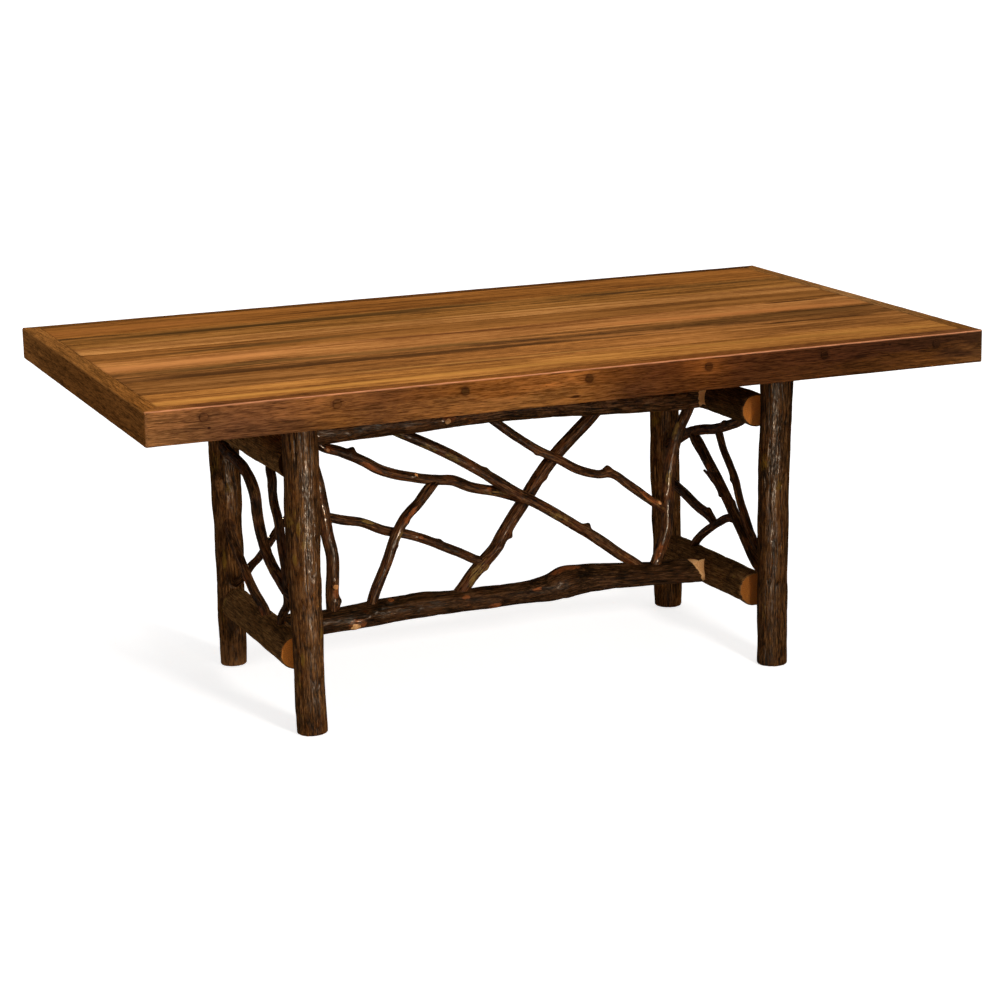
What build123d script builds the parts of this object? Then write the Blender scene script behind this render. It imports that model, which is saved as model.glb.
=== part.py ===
from build123d import *
import os
from collections import defaultdict
from math import cos, radians, sin

# Rustic dining table: a plank top in a mitred rim, on a base of hickory logs
# whose frames are filled with natural branches.
# Millimetres. Z is up, X runs along the table, the front is -Y, and the origin
# is on the floor under the middle of the top.

# ---------------------------------------------------------------- top sizes
TOP_LENGTH = 1828.8
TOP_WIDTH = 1066.8
TABLE_HEIGHT = 762.0
RIM_THICKNESS = 36.0
RIM_HEIGHT = 69.85
RIM_CORNER_RADIUS = 6.0
RIM_EDGE_RADIUS = 4.0
PLANK_THICKNESS = 35.0
PLANK_EDGE_EASE = 0.8
PLANK_SEAM = 0.3
# Old boards come in mixed widths. These are their parts of the whole, back to front.
PLANK_PARTS = (155, 88, 57, 80, 110, 119, 121, 138, 128)
BATTEN_WIDTH = 120.0
BATTEN_END_GAP = 2.0
END_BATTEN_INSET = 125.0

# ---------------------------------------------------------------- base sizes
LEG_SPREAD_X = 1084.0
LEG_SPREAD_Y = 544.0
BASE_SHIFT_X = 10.0
BASE_SHIFT_Y = 3.0
PANEL_SHIFT_Y = -3.0
FOOT_RISE = 2.0
HEAD_RISE = 11.0
LEG_RADIUS = 34.0
FOOT_CHAMFER = 3.0
LOWER_LOG_HEIGHT = 155.0
UPPER_LOG_DROP = 130.15
UPPER_LOG_HEIGHT = TABLE_HEIGHT - RIM_HEIGHT - UPPER_LOG_DROP
CROSS_LOG_RADIUS = 36.5
SHOULDER_GAP = 10.0
SHOULDER_CHAMFER = 5.0
RAIL_RADIUS = 28.0
FACET_LENGTH = 18.0
FACET_ANGLE = 27.0
STRETCHER_FACET_TURN = 35.0
UPPER_FACET_TURN = 0.0

# ---------------------------------------------------------------- joints and fasteners
FIT = 0.2
LOG_TENON_RADIUS = 16.0
LOG_TENON_DEPTH = 44.0
BRANCH_TENON_RADIUS = 5.0
BRANCH_TENON_DEPTH = 14.0
TWIG_TENON_RADIUS = 3.0
TWIG_TENON_DEPTH = 6.0
TENON_LAP = 12.0
END_TAPER = 0.78
NAIL_RADIUS = 0.9
NAIL_INSET = 0.4
NAIL_BITE = 3.0
PEG_RADIUS = 8.0
PEG_LENGTH = 11.0
PEG_COUNT = 7
PEG_END_INSET = 116.4
PEG_DEPTH = 21.0
PEG_CHAMFER = 0.6
SCREW_RADIUS = 2.4
SCREW_HEAD_RADIUS = 4.5
SCREW_HEAD_HEIGHT = 3.0
RIM_SCREW_BITE = 40.0
BATTEN_SCREW_BITE = 22.0
BATTEN_SCREW_OFFSET = 46.0
DOWEL_RADIUS = 5.0
DOWEL_HALF = 26.0
SPLINE_LENGTH = 24.0
SPLINE_THICKNESS = 4.0
SPLINE_HEIGHT = 44.0
BOLT_RADIUS = 5.0
BOLT_HEAD_RADIUS = 8.5
BOLT_HEAD_HEIGHT = 6.5
BOLT_BITE = 78.0
WASHER_RADIUS = 12.0
WASHER_THICKNESS = 2.0
BOLT_POCKET_DEPTH = 11.0

# ---------------------------------------------------------------- shapes of the logs
# A leg's stations: share of its height, shift along X and Y, extra radius.
LEG_SHAPES = {
    "front_left": ((0, 3, -9, -1), (0.3, 1, -9, -1.5), (0.6, 0, -9, 2), (1, 3, -9, 3)),
    "front_right": ((0, 1, 9, -0.5), (0.3, 3, 9, -0.5), (0.6, 5, 9, 0), (1, 13, 9, 2.5)),
    "back_left": ((0, -2, -1, -4.5), (0.3, 0, -1, -2.5), (0.6, -1, -1, -1), (1, -1, -1, 1)),
    "back_right": ((0, 2, 2, -1), (0.3, -1, 2, 0.5), (0.6, -3, 2, 0), (1, -5, 2, 1)),
}
# A cross log joins a front leg to a back leg: its height, how far its front and its
# back end lie from the leg's axis in X and Z, and its extra radius.
CROSS_LOG_SHAPES = {
    "lower_left": (LOWER_LOG_HEIGHT, (-12, 8), (2, -8), -0.5),
    "lower_right": (LOWER_LOG_HEIGHT, (-20, 7), (1, -12), 1.5),
    "upper_left": (UPPER_LOG_HEIGHT, (0, 3), (0, -3), -0.5),
    "upper_right": (UPPER_LOG_HEIGHT, (-21, 5), (3, -9), 0.5),
}
# A long rail's stations between the cross logs: share of the way, rise, extra radius.
STRETCHER_SHAPE = (
    (0, -5, -1), (0.17, -3, -1), (0.31, 6, -0.5), (0.45, 5, -2.5), (0.58, 5, -2),
    (0.65, 17, 8), (0.73, 18, 2.5), (0.85, 12, -0.5), (1, 4, -1),
)
UPPER_RAIL_SHAPE = (
    (0, 6, -2), (0.2, 13, 0.5), (0.36, 17, 0), (0.61, 20, -0.5), (0.77, 12, -0.5), (1, 4, 0),
)

# ---------------------------------------------------------------- shapes of the branches
# A branch runs from one timber to another. Its points are shares of the opening
# between the legs and between the two log heights, and how far it stands off the
# middle of the frame. Its first and last points snap to the centrelines of the
# timbers that it is let into. Radii are for its first and last ends.
CENTRE_BRANCHES = {
    "centre_branch_1": ("long_rail_upper", "stretcher", 14.5, 14.5, (
        (0.085, 1.00, 0), (0.113, 0.75, 0), (0.125, 0.575, 0), (0.132, 0.44, 0),
        (0.140, 0.33, 0), (0.140, 0.24, 0), (0.137, 0.15, 0), (0.138, -0.02, 0))),
    "centre_branch_2": ("long_rail_upper", "stretcher", 13.0, 14.0, (
        (0.941, 0.98, 0), (0.928, 0.905, 0), (0.911, 0.82, 0), (0.890, 0.635, 0),
        (0.882, 0.465, 0), (0.881, 0.35, 0), (0.878, 0.25, 0), (0.866, 0.165, 0),
        (0.854, 0.08, 0), (0.842, 0.015, 0))),
    "centre_branch_3": ("long_rail_upper", "stretcher", 15.0, 15.0, (
        (0.734, 1.00, 0), (0.709, 0.93, 1), (0.672, 0.835, 7), (0.635, 0.74, 12),
        (0.594, 0.615, 14), (0.562, 0.50, 14), (0.536, 0.415, 13), (0.513, 0.33, 13),
        (0.494, 0.255, 12), (0.469, 0.197, 10), (0.440, 0.13, 6), (0.417, 0.065, 1),
        (0.396, 0.00, 0))),
    "centre_branch_4": ("long_rail_upper", "centre_branch_3", 11.3, 11.7, (
        (0.108, 1.00, 0), (0.122, 0.935, 0), (0.168, 0.88, 2), (0.217, 0.812, 5),
        (0.244, 0.767, 6), (0.280, 0.728, 8), (0.313, 0.704, 9), (0.345, 0.683, 10),
        (0.377, 0.668, 11), (0.402, 0.659, 12), (0.446, 0.608, 13), (0.508, 0.565, 13),
        (0.565, 0.507, 14))),
    "centre_branch_5": ("long_rail_upper", "stretcher", 11.9, 12.5, (
        (0.253, 1.01, 0), (0.292, 0.95, -1), (0.353, 0.87, -4), (0.405, 0.793, -7),
        (0.446, 0.724, -10), (0.499, 0.63, -13), (0.542, 0.553, -14), (0.587, 0.483, -14),
        (0.632, 0.406, -12), (0.666, 0.346, -9), (0.700, 0.286, -7), (0.735, 0.219, -5),
        (0.770, 0.149, -2), (0.799, 0.094, 0), (0.836, 0.024, 0))),
    "centre_branch_6": ("long_rail_upper", "centre_branch_2", 9.9, 10.2, (
        (0.468, 1.01, 0), (0.493, 0.962, -1), (0.538, 0.87, -6), (0.590, 0.776, -11),
        (0.627, 0.724, -14), (0.678, 0.647, -12), (0.718, 0.613, -9), (0.747, 0.608, -8),
        (0.789, 0.534, -6), (0.842, 0.428, -3), (0.882, 0.358, 0))),
    "centre_branch_7": ("centre_branch_1", "centre_branch_3", 10.3, 10.5, (
        (0.126, 0.55, 0), (0.170, 0.514, 4), (0.203, 0.493, 8), (0.256, 0.43, 12),
        (0.301, 0.397, 12), (0.341, 0.356, 11), (0.374, 0.315, 10), (0.416, 0.26, 9),
        (0.451, 0.212, 9), (0.472, 0.185, 10))),
    "centre_branch_8": ("centre_branch_4", "stretcher", 11.8, 12.1, (
        (0.373, 0.67, 11), (0.358, 0.645, 6), (0.322, 0.555, -2), (0.298, 0.505, -7),
        (0.282, 0.452, -11), (0.271, 0.397, -11), (0.256, 0.291, -8), (0.240, 0.19, -5),
        (0.228, 0.115, -2), (0.213, 0.00, 0))),
}
LEFT_BRANCHES = {
    "left_branch_1": ("leg_back_left", "leg_front_left", 12.6, 12.0, (
        (0.998, 0.87, -13), (0.903, 0.85, -15), (0.767, 0.828, -15), (0.631, 0.805, -15),
        (0.555, 0.767, -15), (0.494, 0.70, -15), (0.478, 0.62, -15), (0.447, 0.534, -15),
        (0.390, 0.454, -15), (0.305, 0.387, -15), (0.206, 0.344, -15), (0.097, 0.305, -15),
        (-0.017, 0.267, -12))),
    "left_branch_2": ("cross_log_upper_left", "left_branch_1", 10.0, 9.9, (
        (0.318, 0.97, -4), (0.307, 0.894, -10), (0.274, 0.841, -12), (0.274, 0.779, -12),
        (0.261, 0.721, -12), (0.228, 0.668, -12), (0.199, 0.594, -12), (0.182, 0.507, -12),
        (0.153, 0.423, -12), (0.127, 0.30, -14))),
    "left_branch_3": ("leg_back_left", "leg_front_left", 8.8, 8.4, (
        (0.998, 0.046, 8), (0.886, 0.132, 9), (0.746, 0.243, 9), (0.597, 0.349, 9),
        (0.480, 0.447, 9), (0.364, 0.55, 9), (0.224, 0.654, 9), (-0.017, 0.832, 8))),
    "left_branch_4": ("leg_back_left", "cross_log_lower_left", 10.6, 10.2, (
        (0.998, 0.466, -10), (0.903, 0.387, -11), (0.787, 0.291, -11), (0.684, 0.219, -11),
        (0.581, 0.154, -11), (0.467, 0.099, -9), (0.403, 0.00, -6))),
    "left_branch_5": ("left_branch_1", "cross_log_lower_left", 9.4, 9.4, (
        (0.127, 0.32, -14), (0.153, 0.252, -10), (0.261, 0.123, -6), (0.292, 0.00, -6))),
}
RIGHT_BRANCHES = {
    "right_branch_1": ("leg_back_right", "cross_log_upper_right", 12.4, 11.7, (
        (1.004, 0.555, -5), (0.871, 0.63, -7), (0.733, 0.712, -7), (0.616, 0.752, -7),
        (0.483, 0.791, -7), (0.373, 0.837, -7), (0.244, 0.904, -7), (0.154, 0.98, -7))),
    "right_branch_2": ("right_branch_1", "leg_front_right", 12.6, 12.3, (
        (0.719, 0.719, -7), (0.693, 0.692, -7), (0.608, 0.623, -7), (0.533, 0.558, -7),
        (0.458, 0.488, -7), (0.384, 0.418, -7), (0.320, 0.351, -7), (0.256, 0.286, -7),
        (0.193, 0.216, -7), (0.112, 0.135, -7), (0.017, 0.065, -3))),
    "right_branch_3": ("right_branch_1", "leg_front_right", 9.1, 8.9, (
        (0.476, 0.79, -7), (0.461, 0.767, -7), (0.419, 0.688, -7), (0.364, 0.62, -7),
        (0.311, 0.543, -7), (0.274, 0.45, -7), (0.219, 0.363, -7), (0.175, 0.293, -7),
        (0.112, 0.224, -7), (0.017, 0.137, -3))),
    "right_branch_4": ("right_branch_2", "cross_log_lower_right", 9.6, 9.9, (
        (0.296, 0.329, -7), (0.357, 0.325, -7), (0.469, 0.267, -7), (0.564, 0.202, -7),
        (0.642, 0.139, -7), (0.689, 0.089, -7), (0.737, -0.017, -7))),
    "right_branch_5": ("leg_back_right", "right_branch_4", 11.2, 10.9, (
        (1.004, 0.397, -5), (0.915, 0.375, -7), (0.805, 0.346, -7), (0.660, 0.30, -7),
        (0.562, 0.281, -7), (0.500, 0.252, -7))),
}
# Branches that also bed against a second log beside one of their ends.
SCRIBED = {
    "left_branch_1": ("cross_log_upper_left",),
    "right_branch_2": ("cross_log_lower_right",),
}
# Twigs that cross are nailed: the near one, the far one, and the place.
CENTRE_CROSSINGS = (
    ("centre_branch_5", "centre_branch_3", 0.567, 0.515),
    ("centre_branch_6", "centre_branch_3", 0.629, 0.721),
    ("centre_branch_8", "centre_branch_7", 0.275, 0.416),
)
LEFT_CROSSINGS = (
    ("left_branch_1", "left_branch_3", 0.421, 0.500),
    ("left_branch_2", "left_branch_3", 0.223, 0.654),
    ("left_branch_4", "left_branch_3", 0.732, 0.252),
)

# ---------------------------------------------------------------- worked-out places
RIM_BOTTOM = TABLE_HEIGHT - RIM_HEIGHT
PLANK_BOTTOM = TABLE_HEIGHT - PLANK_THICKNESS
INNER_LENGTH = TOP_LENGTH - 2 * RIM_THICKNESS
INNER_WIDTH = TOP_WIDTH - 2 * RIM_THICKNESS
LEFT_X = BASE_SHIFT_X - LEG_SPREAD_X / 2
RIGHT_X = BASE_SHIFT_X + LEG_SPREAD_X / 2
FRONT_Y = BASE_SHIFT_Y - LEG_SPREAD_Y / 2
BACK_Y = BASE_SHIFT_Y + LEG_SPREAD_Y / 2
PANEL_Y = BASE_SHIFT_Y + PANEL_SHIFT_Y
PANEL_FOOT = LOWER_LOG_HEIGHT + FOOT_RISE
PANEL_HEAD = UPPER_LOG_HEIGHT + HEAD_RISE
LEG_CORNERS = {
    "front_left": (LEFT_X, FRONT_Y),
    "front_right": (RIGHT_X, FRONT_Y),
    "back_left": (LEFT_X, BACK_Y),
    "back_right": (RIGHT_X, BACK_Y),
}
BATTEN_PLACES = {
    "left_end": END_BATTEN_INSET - TOP_LENGTH / 2,
    "left_leg": LEFT_X,
    "centre": BASE_SHIFT_X,
    "right_leg": RIGHT_X,
    "right_end": TOP_LENGTH / 2 - END_BATTEN_INSET,
}
X_AXIS = Vector(1, 0, 0)
Y_AXIS = Vector(0, 1, 0)
Z_AXIS = Vector(0, 0, 1)
BASE_END = (Align.CENTER, Align.CENTER, Align.MIN)

TIMBERS = {}                # name: stations, each a centre and a radius
SEAMS = {}                  # name: direction that a timber's sections are squared to
SQUARE_ENDS = {}            # name: direction that all of a log's sections face
TENONS = defaultdict(list)  # name: pins on its ends, each a start, a direction, a radius, a length
HOLES = defaultdict(list)   # name: bores in it, in the same form


# ---------------------------------------------------------------- centrelines
def leg_stations(corner):
    """Stations of a leg from the floor to the underside of its batten."""
    x, y = LEG_CORNERS[corner]
    return [
        (Vector(x + dx, y + dy, share * RIM_BOTTOM), LEG_RADIUS + extra)
        for share, dx, dy, extra in LEG_SHAPES[corner]
    ]


def nearest_on(stations, target):
    """Centre, radius and direction of a timber where its centreline passes nearest a point."""
    hits = []
    for (start, start_radius), (end, end_radius) in zip(stations, stations[1:]):
        run = end - start
        share = min(max((target - start).dot(run) / run.dot(run), 0), 1)
        centre = start + run * share
        radius = start_radius + (end_radius - start_radius) * share
        hits.append(((target - centre).length, centre, radius, run.normalized()))
    return min(hits, key=lambda hit: hit[0])[1:]


def cross_log(side):
    """Stations of a cross log between its shoulders, with its two tenons and their mortises."""
    height, front_shift, back_shift, extra = CROSS_LOG_SHAPES[side]
    name = "cross_log_" + side
    stations = []
    for end, shift, inward in (("front", front_shift, 1), ("back", back_shift, -1)):
        leg = "leg_" + end + "_" + side.split("_")[1]
        leg_axis, leg_radius, _ = nearest_on(TIMBERS[leg], Vector(*LEG_CORNERS[leg[4:]], height))
        skin = leg_radius + SHOULDER_GAP
        centre = leg_axis + Vector(shift[0], inward * skin, shift[1])
        stations.append((centre, CROSS_LOG_RADIUS + extra))
        # The tenon is turned off centre, halfway between the log's axis and the leg's.
        pin = leg_axis + Vector(shift[0] / 2, inward * skin, shift[1])
        into_leg = Y_AXIS * -inward
        length = SHOULDER_GAP + LOG_TENON_DEPTH
        TENONS[name].append((pin - into_leg * TENON_LAP, into_leg, LOG_TENON_RADIUS, length + TENON_LAP))
        HOLES[leg].append((pin, into_leg, LOG_TENON_RADIUS + FIT, length + FIT))
    TIMBERS[name] = stations
    SEAMS[name] = X_AXIS
    SQUARE_ENDS[name] = Y_AXIS


def long_rail(name, left_log, right_log, shape):
    """Stations of a long rail from one cross log's axis to the other's, with its tenons."""
    height = TIMBERS[left_log][0][0].Z
    left, left_radius, _ = nearest_on(TIMBERS[left_log], Vector(LEFT_X, PANEL_Y, height))
    right, right_radius, _ = nearest_on(TIMBERS[right_log], Vector(RIGHT_X, PANEL_Y, height))
    stations = [
        (left + (right - left) * share + Z_AXIS * rise, RAIL_RADIUS + extra)
        for share, rise, extra in shape
    ]
    TIMBERS[name] = stations
    SEAMS[name] = Y_AXIS
    ends = ((left_log, left_radius, stations[0][0], -1), (right_log, right_radius, stations[-1][0], 1))
    for log, log_radius, axis, outward in ends:
        into_log = X_AXIS * outward
        pin = axis - into_log * (log_radius + TENON_LAP)
        length = TENON_LAP + LOG_TENON_DEPTH
        TENONS[name].append((pin, into_log, LOG_TENON_RADIUS, length))
        HOLES[log].append((pin, into_log, LOG_TENON_RADIUS + FIT, length + FIT))


def centre_point(across, up, out):
    """Place in the lengthwise frame."""
    height = PANEL_FOOT + (PANEL_HEAD - PANEL_FOOT) * up
    return Vector(LEFT_X + LEG_SPREAD_X * across, PANEL_Y + out, height)


def end_point(x):
    """Rule that gives a place in an end frame, for the frame's own place along X."""
    def place(across, up, out):
        return Vector(x + out, FRONT_Y + LEG_SPREAD_Y * across, centre_point(0, up, 0).Z)
    return place


def let_in(name, host, outside, target):
    """Joins a branch to its host: the point on the host's axis, and the small tenon in its hole."""
    axis, host_radius, host_run = nearest_on(TIMBERS[host], target)
    into = (axis - outside).normalized()
    slant = into.cross(host_run).length
    skin = axis - into * (host_radius / slant)
    on_branch = "branch" in host
    radius = TWIG_TENON_RADIUS if on_branch else BRANCH_TENON_RADIUS
    depth = TWIG_TENON_DEPTH if on_branch else BRANCH_TENON_DEPTH
    start = skin - into * TENON_LAP
    TENONS[name].append((start, into, radius, TENON_LAP + depth))
    HOLES[host].append((start, into, radius + FIT, TENON_LAP + depth + FIT))
    return axis, host_radius


def branch(name, shape, place, seam):
    """Stations of a branch through its points, tapered a little where it is let in."""
    first_host, last_host, first_radius, last_radius, points = shape
    centres = [place(*point) for point in points]
    centres[0], first_limit = let_in(name, first_host, centres[1], centres[0])
    centres[-1], last_limit = let_in(name, last_host, centres[-2], centres[-1])
    steps = len(centres) - 1
    radii = [first_radius + (last_radius - first_radius) * i / steps for i in range(steps + 1)]
    radii[0] = min(first_radius, END_TAPER * first_limit)
    radii[-1] = min(last_radius, END_TAPER * last_limit)
    TIMBERS[name] = list(zip(centres, radii))
    SEAMS[name] = seam


def nail_places(crossings, place, along):
    """Start, direction, radius and length of the nail through each pair of crossing branches."""
    nails = []
    for near, far, across, up in crossings:
        near_centre, near_radius, _ = nearest_on(TIMBERS[near], place(across, up, 0))
        far_centre, _, _ = nearest_on(TIMBERS[far], place(across, up, 0))
        off_front = (near_centre - place(across, up, 0)).dot(along) - near_radius + NAIL_INSET
        off_back = (far_centre - place(across, up, 0)).dot(along) + NAIL_BITE
        start = place(across, up, 0) + along * off_front
        nails.append((start, along, NAIL_RADIUS, off_back - off_front))
        bore = (start - along, along, NAIL_RADIUS + FIT / 2, off_back - off_front + 1 + FIT)
        HOLES[near].append(bore)
        HOLES[far].append(bore)
    return nails


for corner in LEG_SHAPES:
    TIMBERS["leg_" + corner] = leg_stations(corner)
    SEAMS["leg_" + corner] = X_AXIS
    SQUARE_ENDS["leg_" + corner] = Z_AXIS
for side in CROSS_LOG_SHAPES:
    cross_log(side)
long_rail("stretcher", "cross_log_lower_left", "cross_log_lower_right", STRETCHER_SHAPE)
long_rail("long_rail_upper", "cross_log_upper_left", "cross_log_upper_right", UPPER_RAIL_SHAPE)
for name, shape in CENTRE_BRANCHES.items():
    branch(name, shape, centre_point, Y_AXIS)
for name, shape in LEFT_BRANCHES.items():
    branch(name, shape, end_point(LEFT_X), X_AXIS)
for name, shape in RIGHT_BRANCHES.items():
    branch(name, shape, end_point(RIGHT_X), X_AXIS)
NAILS = nail_places(CENTRE_CROSSINGS, centre_point, Y_AXIS)
NAILS += nail_places(LEFT_CROSSINGS, end_point(LEFT_X), X_AXIS)


# ---------------------------------------------------------------- makers
def pole(name, grow=0.0):
    """Round timber lofted through its stations, optionally thicker all round by a clearance."""
    stations = TIMBERS[name]
    last = len(stations) - 1
    with BuildPart() as timber:
        for index, (centre, radius) in enumerate(stations):
            before = stations[max(index - 1, 0)][0]
            after = stations[min(index + 1, last)][0]
            run = SQUARE_ENDS.get(name, (after - before).normalized())
            across = (SEAMS[name] - run * SEAMS[name].dot(run)).normalized()
            with BuildSketch(Plane(origin=centre, x_dir=across, z_dir=run)):
                Circle(radius + grow)
        loft(ruled=True)
    return timber.part


def pins(places):
    """Round pins, each from a start along a direction, made as separate cylinders."""
    with BuildPart() as group:
        for start, along, radius, length in places:
            with Locations(Plane(origin=start, z_dir=along)):
                Cylinder(radius, length, align=BASE_END)
    return group.part


def finish(builder, name):
    """Labels a finished piece and writes it."""
    builder.part.label = name
    export_step(builder.part, "parts/" + name + ".step")


def rim_board(corners):
    """One board of the rim: its mitred plan, raised, and rounded by the shape of the whole top."""
    with BuildPart() as board:
        with BuildSketch(Plane.XY.offset(RIM_BOTTOM)):
            with BuildLine():
                Polyline(*corners, close=True)
            make_face()
        extrude(amount=RIM_HEIGHT)
        add(top_outline.part, mode=Mode.INTERSECT)
    return board.part


os.makedirs("parts", exist_ok=True)

# ---------------------------------------------------------------- top: places of its fasteners
plank_edges = [INNER_WIDTH / 2]
for part_width in PLANK_PARTS:
    plank_edges.append(plank_edges[-1] - INNER_WIDTH * part_width / sum(PLANK_PARTS))
plank_middles = [(back + front) / 2 for back, front in zip(plank_edges, plank_edges[1:])]

peg_pitch = (TOP_LENGTH - 2 * PEG_END_INSET) / (PEG_COUNT - 1)
peg_xs = [peg_pitch * (i - (PEG_COUNT - 1) / 2) for i in range(PEG_COUNT)]
peg_height = TABLE_HEIGHT - PEG_DEPTH
pocket_depth = PEG_LENGTH + SCREW_HEAD_HEIGHT
dowel_height = PLANK_BOTTOM + PLANK_THICKNESS / 2
batten_height = PLANK_BOTTOM - RIM_BOTTOM


def rim_fasteners(front):
    """Peg, screw head and screw shank places along the front or the back rail."""
    inward = Y_AXIS if front else -Y_AXIS
    pegs, heads, shanks = [], [], []
    for x in peg_xs:
        face = Vector(x, 0, peg_height) - inward * (TOP_WIDTH / 2)
        pegs.append((face, inward, PEG_RADIUS, PEG_LENGTH))
        heads.append((face + inward * PEG_LENGTH, inward, SCREW_HEAD_RADIUS, SCREW_HEAD_HEIGHT))
        reach = RIM_THICKNESS - PEG_LENGTH + RIM_SCREW_BITE
        shanks.append((face + inward * PEG_LENGTH, inward, SCREW_RADIUS, reach))
    return pegs, heads, shanks


def widened(places, clearance=FIT, deeper=FIT):
    """The same pins as bores: wider and deeper by a clearance."""
    return [(start, along, radius + clearance, length + deeper) for start, along, radius, length in places]


front_pegs, front_heads, front_shanks = rim_fasteners(True)
back_pegs, back_heads, back_shanks = rim_fasteners(False)

dowels = {
    side: [(Vector(sign * (INNER_LENGTH / 2 + DOWEL_HALF), y, dowel_height), X_AXIS * -sign,
            DOWEL_RADIUS, 2 * DOWEL_HALF) for y in plank_middles]
    for side, sign in (("left", -1), ("right", 1))
}

batten_heads, batten_shanks = [], []
for batten_x in BATTEN_PLACES.values():
    for index, y in enumerate(plank_middles):
        aside = BATTEN_SCREW_OFFSET if index % 2 else -BATTEN_SCREW_OFFSET
        foot = Vector(batten_x + aside, y, RIM_BOTTOM)
        batten_heads.append((foot, Z_AXIS, SCREW_HEAD_RADIUS, SCREW_HEAD_HEIGHT))
        batten_shanks.append((foot, Z_AXIS, SCREW_RADIUS, batten_height + BATTEN_SCREW_BITE))

leg_tops = [TIMBERS["leg_" + corner][-1][0] for corner in LEG_SHAPES]
pocket_floor = PLANK_BOTTOM - BOLT_POCKET_DEPTH
bolt_length = pocket_floor + WASHER_THICKNESS - RIM_BOTTOM + BOLT_BITE
bolt_shanks = [
    (Vector(top.X, top.Y, pocket_floor + WASHER_THICKNESS), -Z_AXIS, BOLT_RADIUS, bolt_length)
    for top in leg_tops
]
for corner, shank in zip(LEG_SHAPES, bolt_shanks):
    HOLES["leg_" + corner].append((shank[0], shank[1], BOLT_RADIUS + FIT, bolt_length + FIT))

# ---------------------------------------------------------------- rim
with BuildPart(Plane.XY.offset(RIM_BOTTOM)) as top_outline:
    Box(TOP_LENGTH, TOP_WIDTH, RIM_HEIGHT, align=BASE_END)
    fillet(top_outline.edges().filter_by(Axis.Z), RIM_CORNER_RADIUS)
    fillet(top_outline.faces().sort_by(Axis.Z)[-1].edges(), RIM_EDGE_RADIUS)
    fillet(top_outline.faces().sort_by(Axis.Z)[0].edges(), RIM_EDGE_RADIUS)

half_length, half_width = TOP_LENGTH / 2, TOP_WIDTH / 2
inner_x, inner_y = INNER_LENGTH / 2, INNER_WIDTH / 2

with BuildPart() as corner_splines:
    for x_sign in (-1, 1):
        for y_sign in (-1, 1):
            middle = Vector(
                x_sign * (half_length - RIM_THICKNESS / 2),
                y_sign * (half_width - RIM_THICKNESS / 2),
                RIM_BOTTOM + RIM_HEIGHT / 2,
            )
            with Locations(Plane(origin=middle, x_dir=Vector(x_sign, -y_sign, 0))):
                Box(SPLINE_LENGTH, SPLINE_THICKNESS, SPLINE_HEIGHT)
finish(corner_splines, "corner_splines")
spline_slots = offset(corner_splines.part, FIT, kind=Kind.INTERSECTION, mode=Mode.PRIVATE)

for name, sign, pegs, heads, shanks in (
    ("rim_front", -1, front_pegs, front_heads, front_shanks),
    ("rim_back", 1, back_pegs, back_heads, back_shanks),
):
    with BuildPart() as rail:
        add(rim_board((
            (-half_length, sign * half_width), (half_length, sign * half_width),
            (inner_x, sign * inner_y), (-inner_x, sign * inner_y),
        )))
        add(pins(widened(pegs, deeper=SCREW_HEAD_HEIGHT)), mode=Mode.SUBTRACT)
        add(pins(widened(shanks)), mode=Mode.SUBTRACT)
        add(spline_slots, mode=Mode.SUBTRACT)
    finish(rail, name)
    with BuildPart() as plugs:
        add(pins(pegs))
        outer_faces = plugs.faces().filter_by(Axis.Y).group_by(Axis.Y)[0 if sign < 0 else -1]
        chamfer(outer_faces.edges(), PEG_CHAMFER)
    finish(plugs, "pegs_" + name[4:])
    with BuildPart() as screws:
        add(pins(heads))
        add(pins(shanks))
    finish(screws, "rim_screws_" + name[4:])

for side, sign in (("left", -1), ("right", 1)):
    with BuildPart() as board:
        add(rim_board((
            (sign * half_length, -half_width), (sign * half_length, half_width),
            (sign * inner_x, inner_y), (sign * inner_x, -inner_y),
        )))
        add(pins(widened(dowels[side])), mode=Mode.SUBTRACT)
        add(spline_slots, mode=Mode.SUBTRACT)
    finish(board, "rim_" + side)
    with BuildPart() as pegged:
        add(pins(dowels[side]))
    finish(pegged, "end_dowels_" + side)

# ---------------------------------------------------------------- planks
for index, (back, front) in enumerate(zip(plank_edges, plank_edges[1:])):
    name = f"plank_{index + 1}"
    with BuildPart() as plank:
        with Locations((0, plank_middles[index], PLANK_BOTTOM)):
            Box(INNER_LENGTH - 2 * PLANK_SEAM, back - front - PLANK_SEAM, PLANK_THICKNESS, align=BASE_END)
        chamfer(plank.faces().sort_by(Axis.Z)[-1].edges(), PLANK_EDGE_EASE)
        for side in dowels:
            add(pins(widened([dowels[side][index]], deeper=0)), mode=Mode.SUBTRACT)
            far_end = dowels[side][index][0] + dowels[side][index][1] * 2 * DOWEL_HALF
            with Locations(Plane(origin=far_end, z_dir=dowels[side][index][1])):
                Cylinder(DOWEL_RADIUS + FIT, FIT, align=BASE_END, mode=Mode.SUBTRACT)
        add(pins(widened(batten_shanks[index::len(PLANK_PARTS)])), mode=Mode.SUBTRACT)
        if index == 0:
            add(pins(widened(back_shanks)), mode=Mode.SUBTRACT)
        if index == len(PLANK_PARTS) - 1:
            add(pins(widened(front_shanks)), mode=Mode.SUBTRACT)
    finish(plank, name)

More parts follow.
